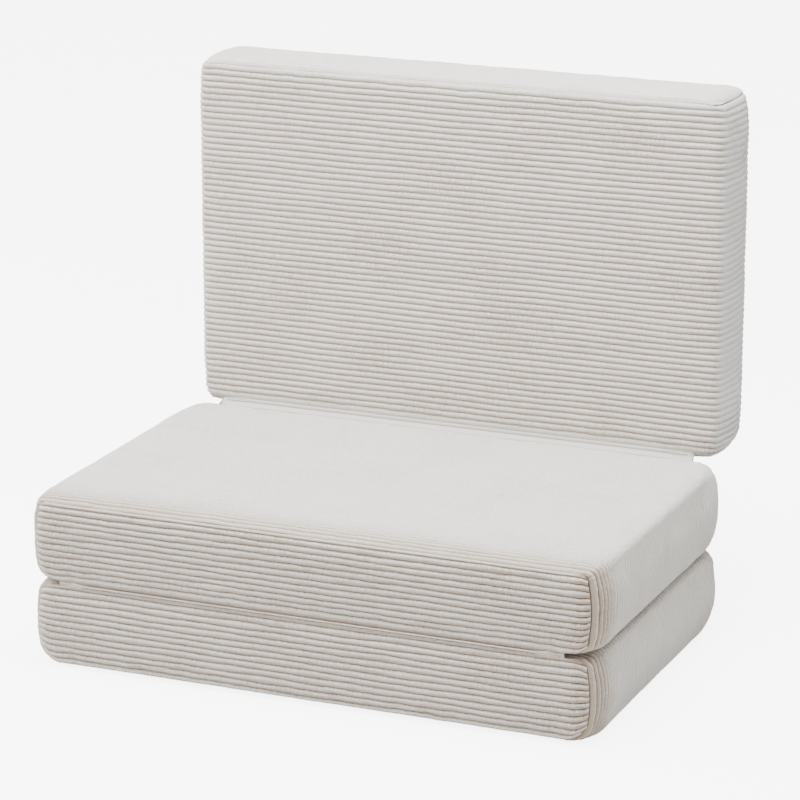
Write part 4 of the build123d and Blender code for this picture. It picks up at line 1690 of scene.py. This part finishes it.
@dataclass(frozen=True)
class FoldStrip:
    """A strip of tape that joins two sections along their fold.

    Its path starts in the first section's seam, lies along that section's face to the fold's
    axis, turns there and lies along the other section's face to its seam.
    """

    name: str
    bodies: tuple[str, str]
    axis: tuple[float, float]
    runs: tuple[tuple[float, float], tuple[float, float]]
    intos: tuple[tuple[float, float], tuple[float, float]]
    reaches: tuple[float, float]
    nodes: tuple[str, ...]
    tip: float
    gaps: tuple[float, float]
    half_length: float = 0.450
    thickness: float = 0.0009
    seat_depth: float = 0.005
    end_fade: float = 0.060
    dive: float = 0.006

    @property
    def square(self) -> bool:
        """Whether the two faces that the strip lies on are square to each other."""
        return abs(float(np.dot(self.intos[0], self.intos[1]))) < 0.5

    def path(self) -> tuple[Array, Array]:
        """The strip's middle line in the YZ plane, and where its ends sink to from there.

        Returns:
            The points, and for each the direction into its own section and back from the fold.
        """
        axis = np.array(self.axis)
        runs, intos = np.array(self.runs), np.array(self.intos)
        halves, sinks = [], []
        for run, into, reach, gap in zip(runs, intos, self.reaches, self.gaps):
            along = np.array([reach + 0.0004, reach + 0.0004, reach - 0.0006,
                              reach * 0.6, max(reach * 0.3, self.tip + 0.0015),
                              self.tip + 0.0011])
            deep = np.array([gap + self.seat_depth, gap + 0.0008, gap, gap, gap, gap])
            halves.append(axis + along[:, None] * run + deep[:, None] * into)
            sinks.append(into + 0.8 * np.clip(1.0 - along / reach, 0.0, 1.0)[:, None] * run)
        deep = intos * np.array(self.gaps)[:, None]
        if self.square:
            turns = [axis + deep[0] + 0.4 * deep[1], axis + deep[1] + 0.3 * deep[0]]
        else:
            turns = [axis + (self.tip + 0.0004) * run + 0.5 * depth
                     for run, depth in zip(runs, deep)]
        sinks = [sinks[0], [intos[0] + 0.8 * runs[0]], [intos[1] + 0.8 * runs[1]],
                 sinks[1][::-1]]
        return (np.concatenate([halves[0], turns, halves[1][::-1]]), np.concatenate(sinks))

    def build(self, finishes: Finishes) -> bpy.types.Object:
        """Builds the strip: the path thickened along its normals and carried along X.

        Its two ends sink along their directions, into the sections and back from the fold,
        by a smooth step over end_fade.

        Args:
            finishes: the materials.

        Returns:
            The strip.
        """
        path, sink = self.path()
        tangent = np.gradient(path, axis=0)
        tangent /= np.linalg.norm(tangent, axis=1, keepdims=True)
        normal = np.stack([-tangent[:, 1], tangent[:, 0]], axis=1)
        loop = np.concatenate([path + normal * self.thickness / 2,
                               (path - normal * self.thickness / 2)[::-1]])
        across = np.linspace(-self.half_length, self.half_length, 121)
        shape = (len(across), len(loop))
        sink = self.dive * np.concatenate([sink, sink[::-1]])
        fade = smooth_step(np.abs(across), self.half_length - self.end_fade,
                           self.half_length)[:, None]
        points = np.stack([np.broadcast_to(across[:, None], shape),
                           loop[None, :, 0] + fade * sink[None, :, 0],
                           loop[None, :, 1] + fade * sink[None, :, 1]], axis=-1)
        cloth = Cloth()
        cloth.add_tube(points)
        piece = cloth.build(self.name, finishes.fold_tape)
        self.point_outwards(piece)
        direction = np.array(self.intos[1]) - np.array(self.intos[0])
        if self.square:
            direction = np.array(self.runs[1]) - np.array(self.runs[0])
        direction = direction / np.linalg.norm(direction)
        start = np.array(self.axis) - 0.0006 * direction
        end = np.array(self.axis) + 0.0006 * direction
        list(self.bodies)
        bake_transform(piece)
        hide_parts(*self.nodes)
        return piece

    def point_outwards(self, piece: bpy.types.Object) -> None:
        """Turns the faces over where the mesh's signed volume is negative."""
        mesh = piece.data
        mesh.calc_loop_triangles()
        corners = np.zeros(len(mesh.loop_triangles) * 3, np.int32)
        mesh.loop_triangles.foreach_get("vertices", corners)
        tri = mesh_points(mesh)[corners].reshape(-1, 3, 3)
        volume = np.sum(tri[:, 0] * np.cross(tri[:, 1], tri[:, 2])) / 6
        if volume < 0:
            mesh.flip_normals()


@dataclass(frozen=True)
class FoldStitches:
    """The row of stitches along a fold."""

    name: str
    node: str
    body: str
    axis: tuple[float, float]
    half_length: float = 0.449
    pitch: float = 0.0042
    stitch: float = 0.0036
    radius: float = 0.00055

    def build(self, finishes: Finishes) -> bpy.types.Object:
        """Builds the stitches: one short spindle, repeated along the fold.

        Args:
            finishes: the materials.

        Returns:
            The row of stitches.
        """
        count = int(2 * self.half_length / self.pitch)
        first = -self.half_length + self.pitch / 2
        t = np.linspace(0.0, 1.0, 6)
        girth = self.radius * np.sqrt(np.clip(1.0 - (2 * t - 1) ** 4, 0.02, 1.0))
        turn = np.linspace(0.0, 2 * math.pi, 7)[:-1]
        cloth = Cloth()
        for number in range(count):
            middle = first + number * self.pitch
            across = middle + (t - 0.5) * self.stitch
            points = np.stack([np.broadcast_to(across[:, None], (6, 6)),
                               self.axis[0] + girth[:, None] * np.cos(turn)[None, :],
                               self.axis[1] + girth[:, None] * np.sin(turn)[None, :]],
                              axis=-1)
            cloth.add_tube(points, True)
        piece = cloth.build(self.name, finishes.thread)
        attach(piece, self.body)
        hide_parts(self.node)
        return piece


@dataclass(frozen=True)
class PaddedSection:
    """One padded section with all its pieces."""

    form: CushionForm
    first_panel: EndPanel
    last_panel: EndPanel

    def build(self, finishes: Finishes) -> None:
        """Builds every piece of the section.

        Args:
            finishes: the materials.
        """
        moves = Stuffing(self.form).moves()
        wander = 0.0007 if self.form.lie is Lie.UPRIGHT else 0.0012
        pieces = [CorduroyWrap(self.form, wander=wander).build(finishes, moves),
                  self.first_panel.build(finishes, moves),
                  self.last_panel.build(finishes, moves),
                  FoamBlock(self.form, True).build(finishes),
                  FoamBlock(self.form, False).build(finishes),
                  *Zipper(self.form).build(finishes)]
        for piece in pieces:
            LOG.info("%s: %d faces", piece.name, len(piece.data.polygons))


def make_sections() -> list[PaddedSection]:
    """The base, the seat and the back. The edges at the front crease are rounded least."""
    base, seat, back = base_form(), seat_form(), back_form()
    return [
        PaddedSection(base, EndPanel(base, False, "front_panel", low_rounding=0.008,
                                     high_rounding=0.0018),
                      EndPanel(base, True, "rear_panel", low_rounding=0.008,
                               high_rounding=0.008)),
        PaddedSection(seat, EndPanel(seat, False, "front_panel", low_rounding=0.0018,
                                     high_rounding=0.007),
                      EndPanel(seat, True, "rear_panel", low_rounding=0.008,
                               high_rounding=0.006)),
        # The back's bottom panel takes half the painted groove shade, and its top panel, which
        # light falls full on from above, the least.
        PaddedSection(back, EndPanel(back, False, "bottom_panel", low_rounding=0.006,
                                     high_rounding=0.008, shade_strength=0.5),
                      EndPanel(back, True, "top_panel", low_rounding=0.010,
                               high_rounding=0.010, side_rounding=0.024, shade_strength=0.12))]


@dataclass(frozen=True)
class Studio:
    """The floor, the soft lights and the camera."""

    azimuth: float = 22.844
    elevation: float = 16.386
    focal: float = 3677.3
    back_off: float = 6.0188
    right_shift: float = 0.1587
    up_shift: float = 0.5005
    front: float = -0.320
    sensor: float = 36.0
    pixels: float = 800.0
    flat_floor: float = 40.0
    floor_turn: float = 4.0
    floor_top: float = 16.0

    def build(self, finishes: Finishes) -> None:
        """Makes the stage and sets the scene's camera.

        Args:
            finishes: the materials.
        """
        self.floor(finishes.floor)
        self.lights()
        self.camera()

    def floor(self, material: bpy.types.Material) -> None:
        """A pale round floor that rises far off all round: flat, a quarter turn, upright."""
        turn = np.linspace(0.0, math.pi / 2, 25)
        reach = np.concatenate([[2.0, 6.0, 15.0],
                                self.flat_floor + self.floor_turn * np.sin(turn),
                                [self.flat_floor + self.floor_turn]])[:, None]
        height = np.concatenate([np.zeros(3), self.floor_turn * (1 - np.cos(turn)),
                                 [self.floor_top]])[:, None]
        around = np.linspace(0.0, 2 * math.pi, 65)[None, :-1]
        points = np.stack([reach * np.cos(around), reach * np.sin(around),
                           np.broadcast_to(height, (len(reach), 64))], axis=-1)
        cloth = Cloth()
        index = cloth.add_grid(points, np.zeros((len(reach), 65, 2)), closed=True)
        cloth.add_cap(index[0], (0.0, 0.0, 0.0))
        cloth.build("studio_floor", material)

    def lights(self) -> None:
        """A soft light above the seat, one from the left and a sky brightest overhead.

        The sky's strength is 6.2 times the eighth power of its height above the floor.
        """
        target = Vector((0.0, 0.0, 0.35))
        for name, place, size, power in (
                ("near_light", (0.3, -0.5, 2.6), 1.6, 95.0),
                ("left_light", (-4.6, -1.0, 2.6), 2.8, 390.0)):
            data = bpy.data.lights.new(name, "AREA")
            data.shape = "SQUARE"
            data.size = size
            data.energy = power
            light = bpy.data.objects.new(name, data)
            light.location = place
            aim = (target - Vector(place)).to_track_quat("-Z", "Y")
            light.rotation_mode = "QUATERNION"
            light.rotation_quaternion = aim
            bpy.context.scene.collection.objects.link(light)
        world = bpy.data.worlds.new("studio_light")
        world.use_nodes = True
        tree = world.node_tree
        sky = tree.nodes["Background"]
        sky.inputs["Color"].default_value = (1.0, 1.0, 1.0, 1.0)
        parts = tree.nodes.new("ShaderNodeSeparateXYZ")
        tree.links.new(tree.nodes.new("ShaderNodeTexCoord").outputs["Generated"],
                       parts.inputs[0])
        height = calc(tree, "MAXIMUM", parts.outputs[2], 0.0)
        tree.links.new(calc(tree, "MULTIPLY", calc(tree, "POWER", height, 8.0), 6.2),
                       sky.inputs["Strength"])
        bpy.context.scene.world = world

    def camera(self) -> None:
        """The photograph's camera, level, its focal length known in pixels of the photograph."""
        a, e = math.radians(self.azimuth), math.radians(self.elevation)
        back = Vector((math.sin(a) * math.cos(e), -math.cos(a) * math.cos(e), math.sin(e)))
        right = Vector((math.cos(a), math.sin(a), 0.0))
        up = back.cross(right)
        data = bpy.data.cameras.new("photo_camera")
        data.sensor_width = self.sensor
        data.lens = self.sensor * self.focal / self.pixels
        data.clip_end = 100.0
        camera = bpy.data.objects.new("photo_camera", data)
        place = (back * self.back_off + right * self.right_shift + up * self.up_shift
                 + Vector((0.0, self.front, 0.0)))
        camera.matrix_world = Matrix.Translation(place) @ Matrix(
            (right, up, back)).transposed().to_4x4()
        bpy.context.scene.collection.objects.link(camera)
        bpy.context.scene.camera = camera


def main() -> None:
    """Loads the frame and builds the sections, the folds and the stage in order."""
    logging.basicConfig(level=logging.INFO, format="%(name)s %(message)s")
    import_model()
    finishes = make_finishes()
    for section in make_sections():
        section.build(finishes)
    front_axis = (-LENGTH / 2, THICKNESS)
    rear_axis = (LENGTH / 2 + OVERHANG, 2 * THICKNESS)
    FoldStrip("front_fold_strip", ("base", "seat"), front_axis,
              runs=((1.0, 0.0), (1.0, 0.0)), intos=((0.0, -1.0), (0.0, 1.0)),
              reaches=(0.01115, 0.01115),
              nodes=("front_fold_lower_tape", "front_fold_upper_tape"), tip=0.0018,
              gaps=(0.00075, 0.00075)).build(finishes)
    FoldStrip("rear_fold_strip", ("seat", "back"), rear_axis,
              runs=((-1.0, 0.0), (0.0, 1.0)), intos=((0.0, -1.0), (1.0, 0.0)),
              reaches=(0.01885, 0.00345),
              nodes=("rear_fold_seat_tape", "rear_fold_back_tape"), tip=0.0,
              gaps=(0.0018, 0.0022)).build(finishes)
    FoldStitches("front_fold_stitches", "front_fold_thread", "base",
                 (front_axis[0] + 0.0018, front_axis[1])).build(finishes)
    FoldStitches("rear_fold_stitches", "rear_fold_thread", "seat",
                 (rear_axis[0] + 0.0008, rear_axis[1] - 0.0004), half_length=0.440,
                 radius=0.0009).build(finishes)
    Studio().build(finishes)


if __name__ == "__main__":
    main()
